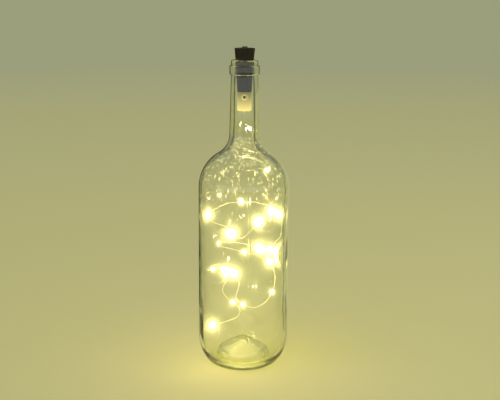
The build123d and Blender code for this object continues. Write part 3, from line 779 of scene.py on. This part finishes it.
def cap_finish():
    """Cream moulding with painted light: a glow brightest at the bottom that falls off towards the top, and
    a bright ring round the screw.
    """
    colours = settings("colours")
    low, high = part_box("battery_cap")
    material = grained("cap_cream", colours.cap, darker(colours.cap, 0.9), spacing=0.004, roughness=0.38)
    tree = material.node_tree
    place = piece_place(tree)
    fall = map_range(tree, upward(tree, place), low.z, high.z, 1.0, CAP_TOP_GLOW)
    screw_low, screw_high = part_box("cap_screw")
    middle = (screw_low + screw_high) / 2
    from_screw = vector_math(tree, "SUBTRACT", place, (middle.x, low.y, middle.z))
    ring = map_range(tree, vector_math(tree, "LENGTH", from_screw), *SCREW_RING, SCREW_RING_GLOW, 0.0)
    glow = math(tree, "ADD", math(tree, "POWER", fall, CAP_GLOW_FALL), ring)
    light_up(material, glow, colours.cap_painted_glow, CAP_GLOW_STRENGTH)
    return material


# Bottle

def cone_top(base, tip, cap_radius):
    """Where a cone's side ends and the arc of its rounded top, up to the axis."""
    slope = (tip - base[1]) / base[0]
    lean = atan2(slope, 1.0)
    sphere = cap_radius / sin(lean)
    meet = (cap_radius, tip - cap_radius * slope)
    centre = (0.0, meet[1] - sphere * cos(lean))
    return meet, arc(centre, (sphere, sphere), 90 - degrees(lean), degrees(lean), ROUND_STEPS)


def shoulder_line(sizes, start, shoulder, curve, neck):
    """Shoulder arc and hollow neck curve, from the side upwards, and the height where the neck starts."""
    centre = sizes.body_radius - sizes.shoulder_radius
    rise = sqrt((shoulder + curve) ** 2 - (neck + curve - centre) ** 2)
    lean = degrees(atan2(rise, neck + curve - centre))
    points = arc((centre, start), (shoulder, shoulder), 0, lean, CURVE_STEPS)
    points += arc((neck + curve, start + rise), (curve, curve), 180 + lean, -lean, CURVE_STEPS)
    return points, start + rise


def bottle_section(sizes):
    """Half section of the glass from under the punt, up the outside and down the inside to the floor's top.

    Also the number of points on the underside."""
    ring_outer = sizes.body_radius - sizes.heel_width
    ring_inner = ring_outer - sizes.ring_width
    valley = ring_outer + sizes.valley_offset
    inner = sizes.body_radius - sizes.body_wall
    bore = sizes.neck_base - sizes.neck_wall
    straight_top = sizes.heel_height + sizes.body_length
    punt = (ring_inner - sizes.punt_lean, sizes.punt_wall_height)
    floor = (punt[0] + sizes.floor_spread, punt[1] + sizes.floor_wall)
    punt_meet, punt_top = cone_top(punt, sizes.punt_tip, sizes.punt_cap)
    floor_meet, floor_top = cone_top(floor, sizes.punt_tip + sizes.floor_wall, sizes.punt_cap)
    outside, neck_start = shoulder_line(
        sizes, straight_top, sizes.shoulder_radius, sizes.neck_curve, sizes.neck_base)
    inside, inner_start = shoulder_line(
        sizes, straight_top, sizes.shoulder_radius - sizes.body_wall,
        sizes.neck_curve + sizes.body_wall, bore)
    collar = neck_start + sizes.neck_length
    lip = collar + sizes.collar_height
    top = lip + sizes.lip_height
    under = punt_top[::-1] + rounded(
        [punt_meet, punt, (ring_inner, 0.0), (ring_outer, 0.0)], [sizes.punt_round, sizes.punt_foot_round]
    )
    heel = arc((ring_outer, sizes.heel_height), (sizes.heel_width, sizes.heel_height), 270, 90, HEEL_STEPS)
    mouth = rounded(
        [(sizes.neck_base, neck_start), (sizes.neck_top, collar), (sizes.collar_radius, collar),
         (sizes.collar_radius, lip), (sizes.lip_radius, lip), (sizes.lip_radius, top),
         (sizes.mouth_radius, top), (sizes.bore_radius, top - sizes.mouth_depth), (bore, inner_start)],
        [sizes.collar_corner, sizes.collar_round, sizes.collar_round, sizes.collar_corner,
         sizes.lip_round, sizes.mouth_round, sizes.bore_round],
    )
    inner_radii = (inner - valley, sizes.heel_height - sizes.heel_wall)
    inner_heel = arc((valley, sizes.heel_height), inner_radii, 0, -90, CURVE_STEPS)
    basin = rounded(
        [(valley, sizes.heel_wall), (valley - sizes.valley_flat, sizes.heel_wall), floor, floor_meet],
        [sizes.valley_round, sizes.punt_round],
    )
    under = spaced(under, sizes.ring_step)
    rest = [under[-1]] + heel + outside + mouth + inside[::-1] + inner_heel + basin + floor_top
    return under + spaced(rest, sizes.ring_step)[1:], len(under)


def seam_turns(sizes):
    """Angles of the mesh round the bottle, closer together at the mould seams, and the seams' angles."""
    first = radians(sizes.seam_turn)
    seams = [first, first + pi]
    close = sizes.seam_width / sizes.body_radius / 2
    turns = even_turns(sizes.segments, first)
    turns += [seam + side * reach for seam in seams for side in (-1, 1) for reach in (close / 2, close)]
    return sorted(turn % (2 * pi) for turn in turns), seams


def blown_shape(sizes, seams, top, collar):
    """Rule that moves a point of the turned bottle: waves and a lean inside, mould seams outside."""
    low = sizes.heel_height / 2
    straight_top = sizes.heel_height + sizes.body_length
    neck_foot = collar - sizes.neck_length

    def blown(place, index):
        flat = Vector((place.x, place.y, 0))
        across = flat.length
        if not low < place.z < collar:
            return place
        if index > top:
            rise = min(1.0, (place.z - low) / low)
            spot = (flat + Vector((0, 0, place.z * WAVE_SQUASH))) / sizes.wave_length
            wave = noise.noise(spot) + FINE_WAVE * noise.noise(spot * FINE_WAVE_SCALE)
            above = 2 * (neck_foot - place.z) / (neck_foot - straight_top)
            drift = sizes.wall_drift * held(min(above, place.z / sizes.heel_height - 1))
            return place + flat / across * (sizes.wave_depth * wave) * rise + Vector((-drift, 0, 0))
        gap = min(abs(flat.angle(Vector((cos(seam), sin(seam), 0)))) for seam in seams) * sizes.body_radius
        rise = max(0.0, 1 - gap / (sizes.seam_width / 2))
        return place - flat / across * sizes.seam_height * (1 - rise)

    return blown


def mark_glass(bottle, sizes, collar, first_outer, last_outer):
    """Point values for the glass's finish. Points before the first outer one are under the base."""
    names = ("scuff", "ripple", "outline", "glow", "glint")
    for name in names:
        bottle.data.attributes.new(name, "FLOAT", "POINT")
    scuff, ripple, outline, glow, glint = (bottle.data.attributes[name].data for name in names)
    shoulder = sizes.heel_height + sizes.body_length + sizes.shoulder_radius / 2
    lip_edge = collar + sizes.collar_height + sizes.lip_height - sizes.lip_round
    for index, vertex in enumerate(bottle.data.vertices):
        height, tilt = vertex.co.z, vertex.normal.z
        steep = held((LEVEL_NORMAL - abs(tilt)) / STEEP_SPAN)
        if index < first_outer:
            scuff[index].value = 1.0
            # Painted glow under the base
            glow[index].value = BASE_GLOW
            width = 0.0
        elif index > last_outer and height > sizes.heel_height:
            away = abs(height - shoulder) / (2 * sizes.shoulder_radius)
            ripple[index].value = max(LEAST_RIPPLE, 1 - away)
            width = INNER_OUTLINE * steep
        elif index > last_outer:
            width = INNER_HEEL_OUTLINE * steep
        elif height < sizes.heel_height:
            near = held((HEEL_LINE_TOP - height) / HEEL_LINE_RISE)
            width = BODY_OUTLINE + (HEEL_OUTLINE - BODY_OUTLINE) * near
        elif height > collar - sizes.collar_corner:
            width = COLLAR_OUTLINE * steep
            if height < collar + sizes.collar_round and EDGE_NORMAL < -tilt < LEVEL_NORMAL:
                # Painted glint on the collar's lower edge
                glint[index].value = COLLAR_GLINT
            elif height > lip_edge and EDGE_NORMAL < tilt < LEVEL_NORMAL:
                # Painted glint on the lip's top edge
                glint[index].value = LIP_GLINT
        elif height > collar - sizes.neck_length:
            width = NECK_OUTLINE * steep
        else:
            width = BODY_OUTLINE * steep
        # Width of the painted dark outline at this point
        outline[index].value = max(LEAST_WIDTH, width)


def make_bottle():
    """Blown bottle with a faintly wavy inside and two mould seams outside."""
    sizes = settings("glass")
    section, under = bottle_section(sizes)
    turns, seams = seam_turns(sizes)
    top = max(range(len(section)), key=lambda index: section[index][1])
    collar = section[top][1] - sizes.lip_height - sizes.collar_height
    bottle = lathe("bottle", section, turns, shape=blown_shape(sizes, seams, top, collar))
    mark_glass(bottle, sizes, collar, 1 + (under - 1) * len(turns), 1 + top * len(turns))
    dress(bottle, glass_finish())
    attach(bottle, "bottle")
    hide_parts("glass_bottle")


# Stopper

def cork_section(sizes):
    """Closed half section of the cork, outside first, the number of outside points and the ledge."""
    low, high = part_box("cork_shell")
    lip_top = high.z - sizes.head_proud
    knee = sizes.head_radius - sizes.head_taper * (sizes.head_proud + sizes.knee_depth)
    ceiling = high.z - sizes.top_wall
    shelf = ceiling - sizes.switch_depth
    outside = spaced(rounded(
        [(sizes.button_hole, high.z), (sizes.head_radius, high.z), (knee, lip_top - sizes.knee_depth),
         (sizes.base_radius, low.z), (sizes.bore, low.z)],
        [sizes.edge_round, sizes.knee_depth, sizes.edge_round / 2],
    ), sizes.ring_step)
    inside = [(sizes.bore, shelf), (sizes.bore - sizes.ledge, shelf), (sizes.bore - sizes.ledge, ceiling),
              (sizes.button_hole, ceiling)]
    return outside + inside, len(outside), shelf


def make_cork():
    """Tapered cork plug with pits pressed into its outside."""
    sizes = settings("stopper")
    section, outside, shelf = cork_section(sizes)

    def grooved(place, index):
        in_groove = abs(place.x) < sizes.lead_slot / 2 and place.y > 0 and index >= outside - 1
        if in_groove and place.z <= shelf:
            return Vector((place.x, sizes.lead_depth, place.z))
        return place

    cork = lathe("cork_plug", section, even_turns(sizes.segments), closed=True, shape=grooved)
    normals = [vertex.normal.copy() for vertex in cork.data.vertices]
    for index in range(sizes.segments * (outside - 1)):
        vertex = cork.data.vertices[index]
        place = Vector((vertex.co.x, vertex.co.y, vertex.co.z * PIT_SQUASH)) / sizes.pit_length
        pit = noise.noise(place) * COARSE_PIT + noise.noise(place * FINE_PIT_SCALE) * FINE_PIT
        share = held((pit - PIT_START) / PIT_SPAN)
        vertex.co -= normals[index] * sizes.pit_depth * share * share * (3 - 2 * share)
    colours = settings("colours")
    dress(cork, grained("cork_look", colours.cork, colours.cork_dark, spacing=0.0016, roughness=0.62,
                        spread=0.3, stretch=0.55, bump=0.00012, specular=0.25))
    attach(cork, "cork_unit")
    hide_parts("cork_shell")


def make_button():
    """Push button with a rounded edge, a low dome and the flange that keeps it in the cork."""
    sizes = settings("stopper")
    low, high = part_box("switch_button")
    flange_top = low.z + sizes.flange_height
    rim = high.z - sizes.button_crown
    outline = rounded(
        [(0.0, low.z), (high.x, low.z), (high.x, flange_top), (sizes.button_radius, flange_top),
         (sizes.button_radius, rim), (0.0, high.z)],
        [sizes.button_crown, sizes.button_crown, sizes.button_crown, sizes.button_round],
    )
    button = lathe("push_button", spaced(outline, sizes.ring_step), even_turns(sizes.segments // 3))
    rgb = settings("colours").button
    dress(button, grained("button_grey", rgb, darker(rgb), spacing=0.0012, roughness=0.42, bump=0.00002))
    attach(button, "button")
    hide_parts("switch_button")


STEEL = (0.66, 0.65, 0.62)
BRASS = (0.86, 0.62, 0.28)
INNER_FINISHES = {
    "switch_black": ((0.022, 0.022, 0.022), 0.45, 0.0),
    "tinned_steel": (STEEL, 0.3, 1.0),
    "board_green": ((0.03, 0.17, 0.07), 0.4, 0.0),
    "chip_black": ((0.03, 0.03, 0.03), 0.35, 0.0),
    "plug_white": ((0.72, 0.70, 0.62), 0.45, 0.0),
    "contact_brass": (BRASS, 0.28, 1.0),
    "screw_black": ((0.05, 0.045, 0.04), 0.35, 1.0),
    "seal_rubber": ((0.66, 0.60, 0.44), 0.6, 0.0),
    "splice_sleeve": ((0.03, 0.03, 0.03), 0.55, 0.0),
    "lead_red": ((0.42, 0.03, 0.025), 0.4, 0.0),
    "lead_black": ((0.02, 0.02, 0.02), 0.4, 0.0),
    "cell_steel": (STEEL, 0.25, 1.0),
}
INNER_GRAIN = 0.0009


def dress_inner_works():
    """Finishes of the stopper's other nodes, which keep their CAD shapes."""
    slots = {row["node"]: row["material_slot"] for row in frame["record"]["subparts"]}
    made = {"cap_cream": cap_finish()}
    for slot, (rgb, roughness, metallic) in INNER_FINISHES.items():
        made[slot] = grained(slot, rgb, darker(rgb), INNER_GRAIN, roughness, metallic=metallic)
    for node, piece in frame["nodes"].items():
        if slots[node] in made and not piece.hide_render:
            dress(piece, made[slots[node]])


# String of lights

def realized(tree, geometry):
    """Instances made into plain geometry."""
    return add_node(tree, "GeometryNodeRealizeInstances", {"Geometry": geometry}).outputs["Geometry"]


def put_out(tree, geometry, material, result):
    """End a geometry tree: the shape gets its material and leaves."""
    done = add_node(tree, "GeometryNodeSetMaterial", {"Geometry": geometry, "Material": material})
    tree.links.new(done.outputs["Geometry"], result["Geometry"])


def twisted_pair_tree():
    """Geometry node tree that lays two strands round a curve."""
    tree, given, result = new_group("twisted_pair", "GeometryNodeTree", [
        ("Geometry", "Geometry", None),
        ("Step", "Float", 0.0006),
        ("Pitch", "Float", 0.007),
        ("Strand Radius", "Float", 0.00019),
        ("Offset", "Float", 0.00016),
        ("Material", "Material", None),
    ], [("Geometry", "Geometry")])
    line = add_node(tree, "GeometryNodeResampleCurve", {
        "Curve": given["Geometry"], "Length": given["Step"],
    }, mode="LENGTH").outputs["Curve"]
    along = add_node(tree, "GeometryNodeSplineParameter").outputs["Length"]
    turn = math(tree, "MULTIPLY", math(tree, "DIVIDE", along, given["Pitch"]), 2 * pi)
    normal = add_node(tree, "GeometryNodeInputNormal").outputs["Normal"]
    tangent = add_node(tree, "GeometryNodeInputTangent").outputs["Tangent"]
    side = vector_math(tree, "CROSS_PRODUCT", tangent, normal)
    section = add_node(tree, "GeometryNodeCurvePrimitiveCircle", {
        "Resolution": STRAND_SIDES, "Radius": given["Strand Radius"],
    }).outputs["Curve"]
    strands = add_node(tree, "GeometryNodeJoinGeometry")
    for phase in (0.0, pi):
        angle = math(tree, "ADD", turn, phase)
        across = []
        for direction, wave in ((normal, "COSINE"), (side, "SINE")):
            reach = math(tree, "MULTIPLY", math(tree, wave, angle), given["Offset"])
            across.append(scaled(tree, direction, reach))
        moved = add_node(tree, "GeometryNodeSetPosition", {
            "Geometry": line, "Offset": vector_math(tree, "ADD", *across),
        })
        strand = add_node(tree, "GeometryNodeCurveToMesh", {
            "Curve": moved.outputs["Geometry"], "Profile Curve": section, "Fill Caps": True,
        })
        tree.links.new(strand.outputs["Mesh"], strands.inputs["Geometry"])
    put_out(tree, realized(tree, strands.outputs["Geometry"]), given["Material"], result)
    return tree


def drops_tree():
    """Geometry node tree that puts a resin drop on each point, along its heading."""
    tree, given, result = new_group("resin_drops", "GeometryNodeTree", [
        ("Geometry", "Geometry", None),
        ("Drop Radius", "Float", 0.00135),
        ("Drop Length", "Float", 0.0042),
        ("Lump", "Float", 0.0002),
        ("Material", "Material", None),
    ], [("Geometry", "Geometry")])
    ball = add_node(tree, "GeometryNodeMeshUVSphere", {
        "Segments": DROP_SEGMENTS, "Rings": DROP_RINGS, "Radius": 1.0,
    })
    half = math(tree, "MULTIPLY", given["Drop Length"], 0.5)
    shape = add_node(tree, "ShaderNodeCombineXYZ", {
        "X": given["Drop Radius"], "Y": given["Drop Radius"], "Z": half,
    })
    drop = add_node(tree, "GeometryNodeTransform", {
        "Geometry": ball.outputs["Mesh"], "Scale": shape.outputs["Vector"],
    })
    heading = add_node(tree, "GeometryNodeInputNamedAttribute", {"Name": "heading"},
                       data_type="FLOAT_VECTOR").outputs["Attribute"]
    turn = add_node(tree, "FunctionNodeAlignRotationToVector", {"Vector": heading}, axis="Z")
    placed = add_node(tree, "GeometryNodeInstanceOnPoints", {
        "Points": given["Geometry"], "Instance": drop.outputs["Geometry"],
        "Rotation": turn.outputs["Rotation"],
    })
    lumps = add_node(tree, "ShaderNodeTexNoise", {"Scale": LUMP_SCALE, "Detail": 1.0}).outputs["Fac"]
    reach = math(tree, "MULTIPLY", math(tree, "SUBTRACT", lumps, 0.5), given["Lump"])
    normal = add_node(tree, "GeometryNodeInputNormal").outputs["Normal"]
    uneven = add_node(tree, "GeometryNodeSetPosition", {
        "Geometry": realized(tree, placed.outputs["Instances"]), "Offset": scaled(tree, normal, reach),
    })
    put_out(tree, uneven.outputs["Geometry"], given["Material"], result)
    return tree


def grow(base, tree, name, values):
    """Plain mesh piece that a node tree makes from a base object, which is then removed."""
    modifier = base.modifiers.new(tree.name, "NODES")
    modifier.node_group = tree
    labels = {item.name: item.identifier for item in tree.interface.items_tree if item.in_out == "INPUT"}
    for label, value in values.items():
        modifier[labels[label]] = value
    bpy.context.view_layer.update()
    whole = base.evaluated_get(bpy.context.evaluated_depsgraph_get())
    data = bpy.data.meshes.new_from_object(whole)
    data.name = name
    bpy.data.objects.remove(base)
    return add_piece(name, data)


def string_curve():
    """Smooth line of the string, with the route's points as its control points."""
    data = bpy.data.curves.new("string_line", "CURVE")
    data.dimensions = "3D"
    spline = data.splines.new("NURBS")
    spline.points.add(len(ROUTE) - 1)
    for point, (place, shine) in zip(spline.points, ROUTE):
        point.co = (*place, 1.0)
    spline.order_u = ROUTE_ORDER
    spline.use_endpoint_u = True
    data.resolution_u = ROUTE_STEPS
    return add_piece("string_line", data)


def line_points(curve):
    """Points along a curve with no bevel, in order."""
    bpy.context.view_layer.update()
    whole = curve.evaluated_get(bpy.context.evaluated_depsgraph_get())
    data = bpy.data.meshes.new_from_object(whole)
    points = [vertex.co.copy() for vertex in data.vertices]
    bpy.data.meshes.remove(data)
    return points


def light_places(points):
    """Place, heading and shine of each light: where the string's line passes the middle of its run."""
    places = []
    for (start, shine), (end, next_shine) in zip(ROUTE, ROUTE[1:]):
        if shine:
            middle = (Vector(start) + Vector(end)) / 2
            nearest = min(range(1, len(points) - 1), key=lambda index: (points[index] - middle).length)
            heading = (points[nearest + 1] - points[nearest - 1]).normalized()
            places.append((points[nearest], heading, shine))
    return places


def stopper_share(height):
    """Share, from 0 to 1, of a height's way from the string's foot up to its top; 0 stands for a point that
    stays in the bottle.
    """
    top = ROUTE[0][0][2]
    return held((height - STRING_FOOT) / (top - STRING_FOOT))


def draw_up(light):
    """Bake a light's placement into its mesh."""
    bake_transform(light)


def make_drops(name, places, tree, material):
    """Resin drops at these places, as one piece."""
    sizes = settings("string")
    data = bpy.data.meshes.new(name + "_points")
    data.from_pydata([place for place, heading, shine in places], [], [])
    headings = data.attributes.new("heading", "FLOAT_VECTOR", "POINT")
    for item, (place, heading, shine) in zip(headings.data, places):
        item.vector = heading
    drops = grow(add_piece(name + "_points", data), tree, name, {
        "Drop Radius": sizes.drop_radius, "Drop Length": sizes.drop_length, "Lump": sizes.lump,
        "Material": material,
    })
    return drops


def make_halo(name, place, radius, profile, shine, seen_through):
    """Soft ball of light round a place, brightest in its middle, which lights nothing else."""
    data = bpy.data.lights.new(name, "POINT")
    data.shadow_soft_size = radius
    data.use_soft_falloff = False
    data.energy = 4 * pi * pi * radius * radius
    data.use_nodes = True
    tree = data.node_tree
    tree.nodes.clear()
    square = squareness(tree)
    strength = 0.0
    for middle, steepness in profile:
        part = math(tree, "MULTIPLY", math(tree, "POWER", square, steepness), middle * shine)
        strength = math(tree, "ADD", strength, part)
    show(tree, "ShaderNodeEmission", {
        "Color": opaque(settings("colours").halo), "Strength": strength,
    }, "ShaderNodeOutputLight")
    halo = add_object(name, data)
    halo.location = place
    hide_from(halo, "diffuse", "glossy", "volume_scatter")
    halo.light_linking.receiver_collection = seen_through


def make_halos(places):
    """Shine round each light that stays in the bottle, and a faint one that fills the body."""
    glass = bpy.data.collections.new("seen_through")
    glass.objects.link(bpy.data.objects["bottle"])
    for order, (place, heading, shine) in enumerate(places, 1):
        if stopper_share(place.z) == 0:
            make_halo(f"halo_{order:02d}", place, HALO_RADIUS * shine, HALO_PROFILE, shine, glass)
    for order, height in enumerate(GLOW_HEIGHTS, 1):
        make_halo(f"glow_{order}", (0.0, 0.0, height), GLOW_RADIUS, GLOW_PROFILE, 1.0, glass)


def make_string():
    """Twisted pair of wires along the route, and the lights on it. The bottle is there already."""
    sizes = settings("string")
    curve = string_curve()
    points = line_points(curve)
    wire = grow(curve, twisted_pair_tree(), "light_string", {
        "Step": sizes.step, "Pitch": sizes.pitch, "Strand Radius": sizes.strand,
        "Offset": sizes.diameter / 2 - sizes.strand, "Material": wire_finish(),
    })
    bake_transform(wire)
    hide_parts("string_lead", "string_wire")

    resin, tree = light_finish(), drops_tree()
    places = light_places(points)
    nodes = [f"led_drop_{order:02d}" for order in range(1, len(places) + 1)]
    for order, place in enumerate(places[:MOVING_LIGHTS]):
        drop = make_drops(f"light_drop_{order + 1:02d}", [place], tree, resin)
        draw_up(drop)
        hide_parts(nodes[order])
    drops = make_drops("light_drops", places[MOVING_LIGHTS:], tree, resin)
    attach(drops, "bottle")
    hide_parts(*nodes[MOVING_LIGHTS:], "led_chips")
    make_halos(places)


# Stage

def make_floor():
    """Wide floor with a painted pool of warm light: brighter and warmer near the bottle, fading to a duller
    colour far away.
    """
    reach, colours = settings("stage").floor_radius, settings("colours")
    data = bpy.data.meshes.new("floor")
    corners = [(reach * cos(turn), reach * sin(turn), 0) for turn in even_turns(FLOOR_CORNERS)]
    data.from_pydata(corners, [], [range(len(corners))])
    floor = add_piece("floor", data)
    material, tree = new_material("floor_painted_pool")
    away = map_range(tree, vector_math(tree, "LENGTH", piece_place(tree)), *FLOOR_FADE)
    show(tree, "ShaderNodeBsdfPrincipled", {
        "Base Color": mix_colour(tree, away, opaque(colours.floor), opaque(colours.far_floor)),
        "Roughness": 0.7, "Specular IOR Level": 0.0,
    })
    dress(floor, material)


def make_surroundings():
    """Soft and nearly even light from all round."""
    world = bpy.data.worlds.new("surroundings")
    bpy.context.scene.world = world
    world.use_nodes = True
    tree = world.node_tree
    tree.nodes.clear()
    horizon = darker(settings("colours").far_floor, HORIZON_SHARE)
    height = upward(tree, add_node(tree, "ShaderNodeTexCoord").outputs["Generated"])
    overhead = map_range(tree, height, 0.0, ZENITH_HEIGHT)
    show(tree, "ShaderNodeBackground", {
        "Color": mix_colour(tree, overhead, opaque(horizon), opaque(ZENITH)), "Strength": 1.0,
    }, "ShaderNodeOutputWorld")


def add_card(name, distance, height, start, end, material):
    """Curved card round the bottle, between two angles in degrees, which only reflections show."""
    turns = [radians(start + (end - start) * step / CARD_STEPS) for step in range(CARD_STEPS + 1)]
    line = [(distance * cos(turn), distance * sin(turn)) for turn in turns]
    above = len(turns)
    faces = [(step, step + 1, step + 1 + above, step + above) for step in range(CARD_STEPS)]
    data = bpy.data.meshes.new(name)
    data.from_pydata([(*place, level) for level in (0.0, height) for place in line], [], faces)
    card = add_piece(name, data)
    dress(card, material)
    hide_from(card, "camera", "diffuse", "transmission", "shadow")


def make_cards():
    """Pale card behind the camera, and a dark and a warm one behind the bottle that draw its edges."""
    stage = settings("stage")
    material, tree = new_material("pale_card")
    height = upward(tree, piece_place(tree))
    rise = map_range(tree, height, *PALE_CARD_FOOT, 0.0, PALE_CARD_STRENGTH)
    fall = map_range(tree, height, PALE_CARD_TOP, stage.card_height, PALE_CARD_STRENGTH, 0.0)
    show(tree, "ShaderNodeEmission", {
        "Color": opaque(PALE_CARD), "Strength": math(tree, "MINIMUM", rise, fall),
    })
    turns = (-90 - stage.card_turn, -90 + stage.card_turn)
    add_card("card", stage.card_distance, stage.card_height, *turns, material)
    for name, kind, rgb, card_height, turns in EDGE_CARDS:
        material, tree = new_material(name)
        show(tree, kind, {"Color": opaque(rgb)})
        add_card(name, EDGE_CARD_DISTANCE, card_height, *turns, material)


def add_lamp(name, data, place):
    """Lamp that points at the foot of the bottle's axis and has no shape of its own in glass or gloss."""
    lamp = add_object(name, data)
    lamp.location = place
    lamp.rotation_euler = (-Vector(place)).to_track_quat("-Z", "Y").to_euler()
    hide_from(lamp, "glossy", "transmission")


def make_lamps():
    """Wide soft key light and a weaker soft lamp on the other side."""
    key = bpy.data.lights.new("key", "SUN")
    key.energy = SUN_STRENGTH
    key.angle = radians(SUN_SPREAD)
    add_lamp("key", key, SUN_FROM)
    fill = bpy.data.lights.new("fill", "AREA")
    fill.size = FILL_SIZE
    fill.energy = FILL_POWER
    add_lamp("fill", fill, FILL_FROM)


def make_camera():
    """Camera at the photograph's angle."""
    stage = settings("stage")
    data = bpy.data.cameras.new("camera")
    data.sensor_width = SENSOR_WIDTH
    data.lens = stage.camera_lens
    data.shift_x = stage.camera_shift
    data.clip_start = NEAREST_SEEN
    data.clip_end = 2 * stage.floor_radius
    camera = add_object("camera", data)
    pitch = Matrix.Rotation(radians(90 - stage.camera_pitch), 4, "X")
    roll = Matrix.Rotation(radians(stage.camera_roll), 4, "Z")
    place = Matrix.Translation((0, -stage.camera_distance, stage.camera_height))
    camera.matrix_world = place @ (pitch @ roll)
    bpy.context.scene.camera = camera


# Operators, panel and registration

class BOTTLE_LIGHT_OT_bottle(bpy.types.Operator):
    """Blow the glass bottle"""
    bl_idname = "bottle_light.bottle"
    bl_label = "Glass bottle"

    def execute(self, context):
        make_bottle()
        return {"FINISHED"}


class BOTTLE_LIGHT_OT_stopper(bpy.types.Operator):
    """Make the cork plug and its push button"""
    bl_idname = "bottle_light.stopper"
    bl_label = "Cork and button"

    def execute(self, context):
        make_cork()
        make_button()
        return {"FINISHED"}


class BOTTLE_LIGHT_OT_inner_works(bpy.types.Operator):
    """Finish the battery cap, cells, switch and leads"""
    bl_idname = "bottle_light.inner_works"
    bl_label = "Battery cap and inner works"

    def execute(self, context):
        dress_inner_works()
        return {"FINISHED"}


class BOTTLE_LIGHT_OT_string(bpy.types.Operator):
    """Lay the string of lights into the bottle"""
    bl_idname = "bottle_light.string"
    bl_label = "String of lights"

    def execute(self, context):
        make_string()
        return {"FINISHED"}


class BOTTLE_LIGHT_OT_stage(bpy.types.Operator):
    """Set up floor, surroundings, cards, lamps and camera"""
    bl_idname = "bottle_light.stage"
    bl_label = "Stage"

    def execute(self, context):
        bpy.context.scene.view_settings.view_transform = "Standard"
        bpy.context.scene.cycles.sample_clamp_indirect = LIGHT_CLAMP
        make_floor()
        make_surroundings()
        make_cards()
        make_lamps()
        make_camera()
        return {"FINISHED"}


class BOTTLE_LIGHT_PT_panel(bpy.types.Panel):
    """Sizes, colours and pieces of the bottle light"""
    bl_idname = "BOTTLE_LIGHT_PT_panel"
    bl_label = "Bottle Light"
    bl_space_type = "VIEW_3D"
    bl_region_type = "UI"
    bl_category = "Bottle Light"

    def draw(self, context):
        for operator in OPERATORS:
            self.layout.operator(operator.bl_idname)
        for key, group in SETTINGS.items():
            box = self.layout.box()
            for name in group.__annotations__:
                box.prop(getattr(context.scene, key), name)


OPERATORS = [
    BOTTLE_LIGHT_OT_stage,
    BOTTLE_LIGHT_OT_bottle,
    BOTTLE_LIGHT_OT_string,
    BOTTLE_LIGHT_OT_stopper,
    BOTTLE_LIGHT_OT_inner_works,
]
CLASSES = [*SETTINGS.values(), *OPERATORS, BOTTLE_LIGHT_PT_panel]


def register():
    for item in CLASSES:
        bpy.utils.register_class(item)
    for key, group in SETTINGS.items():
        setattr(bpy.types.Scene, key, PointerProperty(type=group))


def unregister():
    for key in SETTINGS:
        delattr(bpy.types.Scene, key)
    for item in reversed(CLASSES):
        bpy.utils.unregister_class(item)


def main():
    register()
    bpy.ops.bottle_light.stage()
    bpy.ops.bottle_light.bottle()
    bpy.ops.bottle_light.string()
    bpy.ops.bottle_light.stopper()
    bpy.ops.bottle_light.inner_works()


if __name__ == "__main__":
    main()
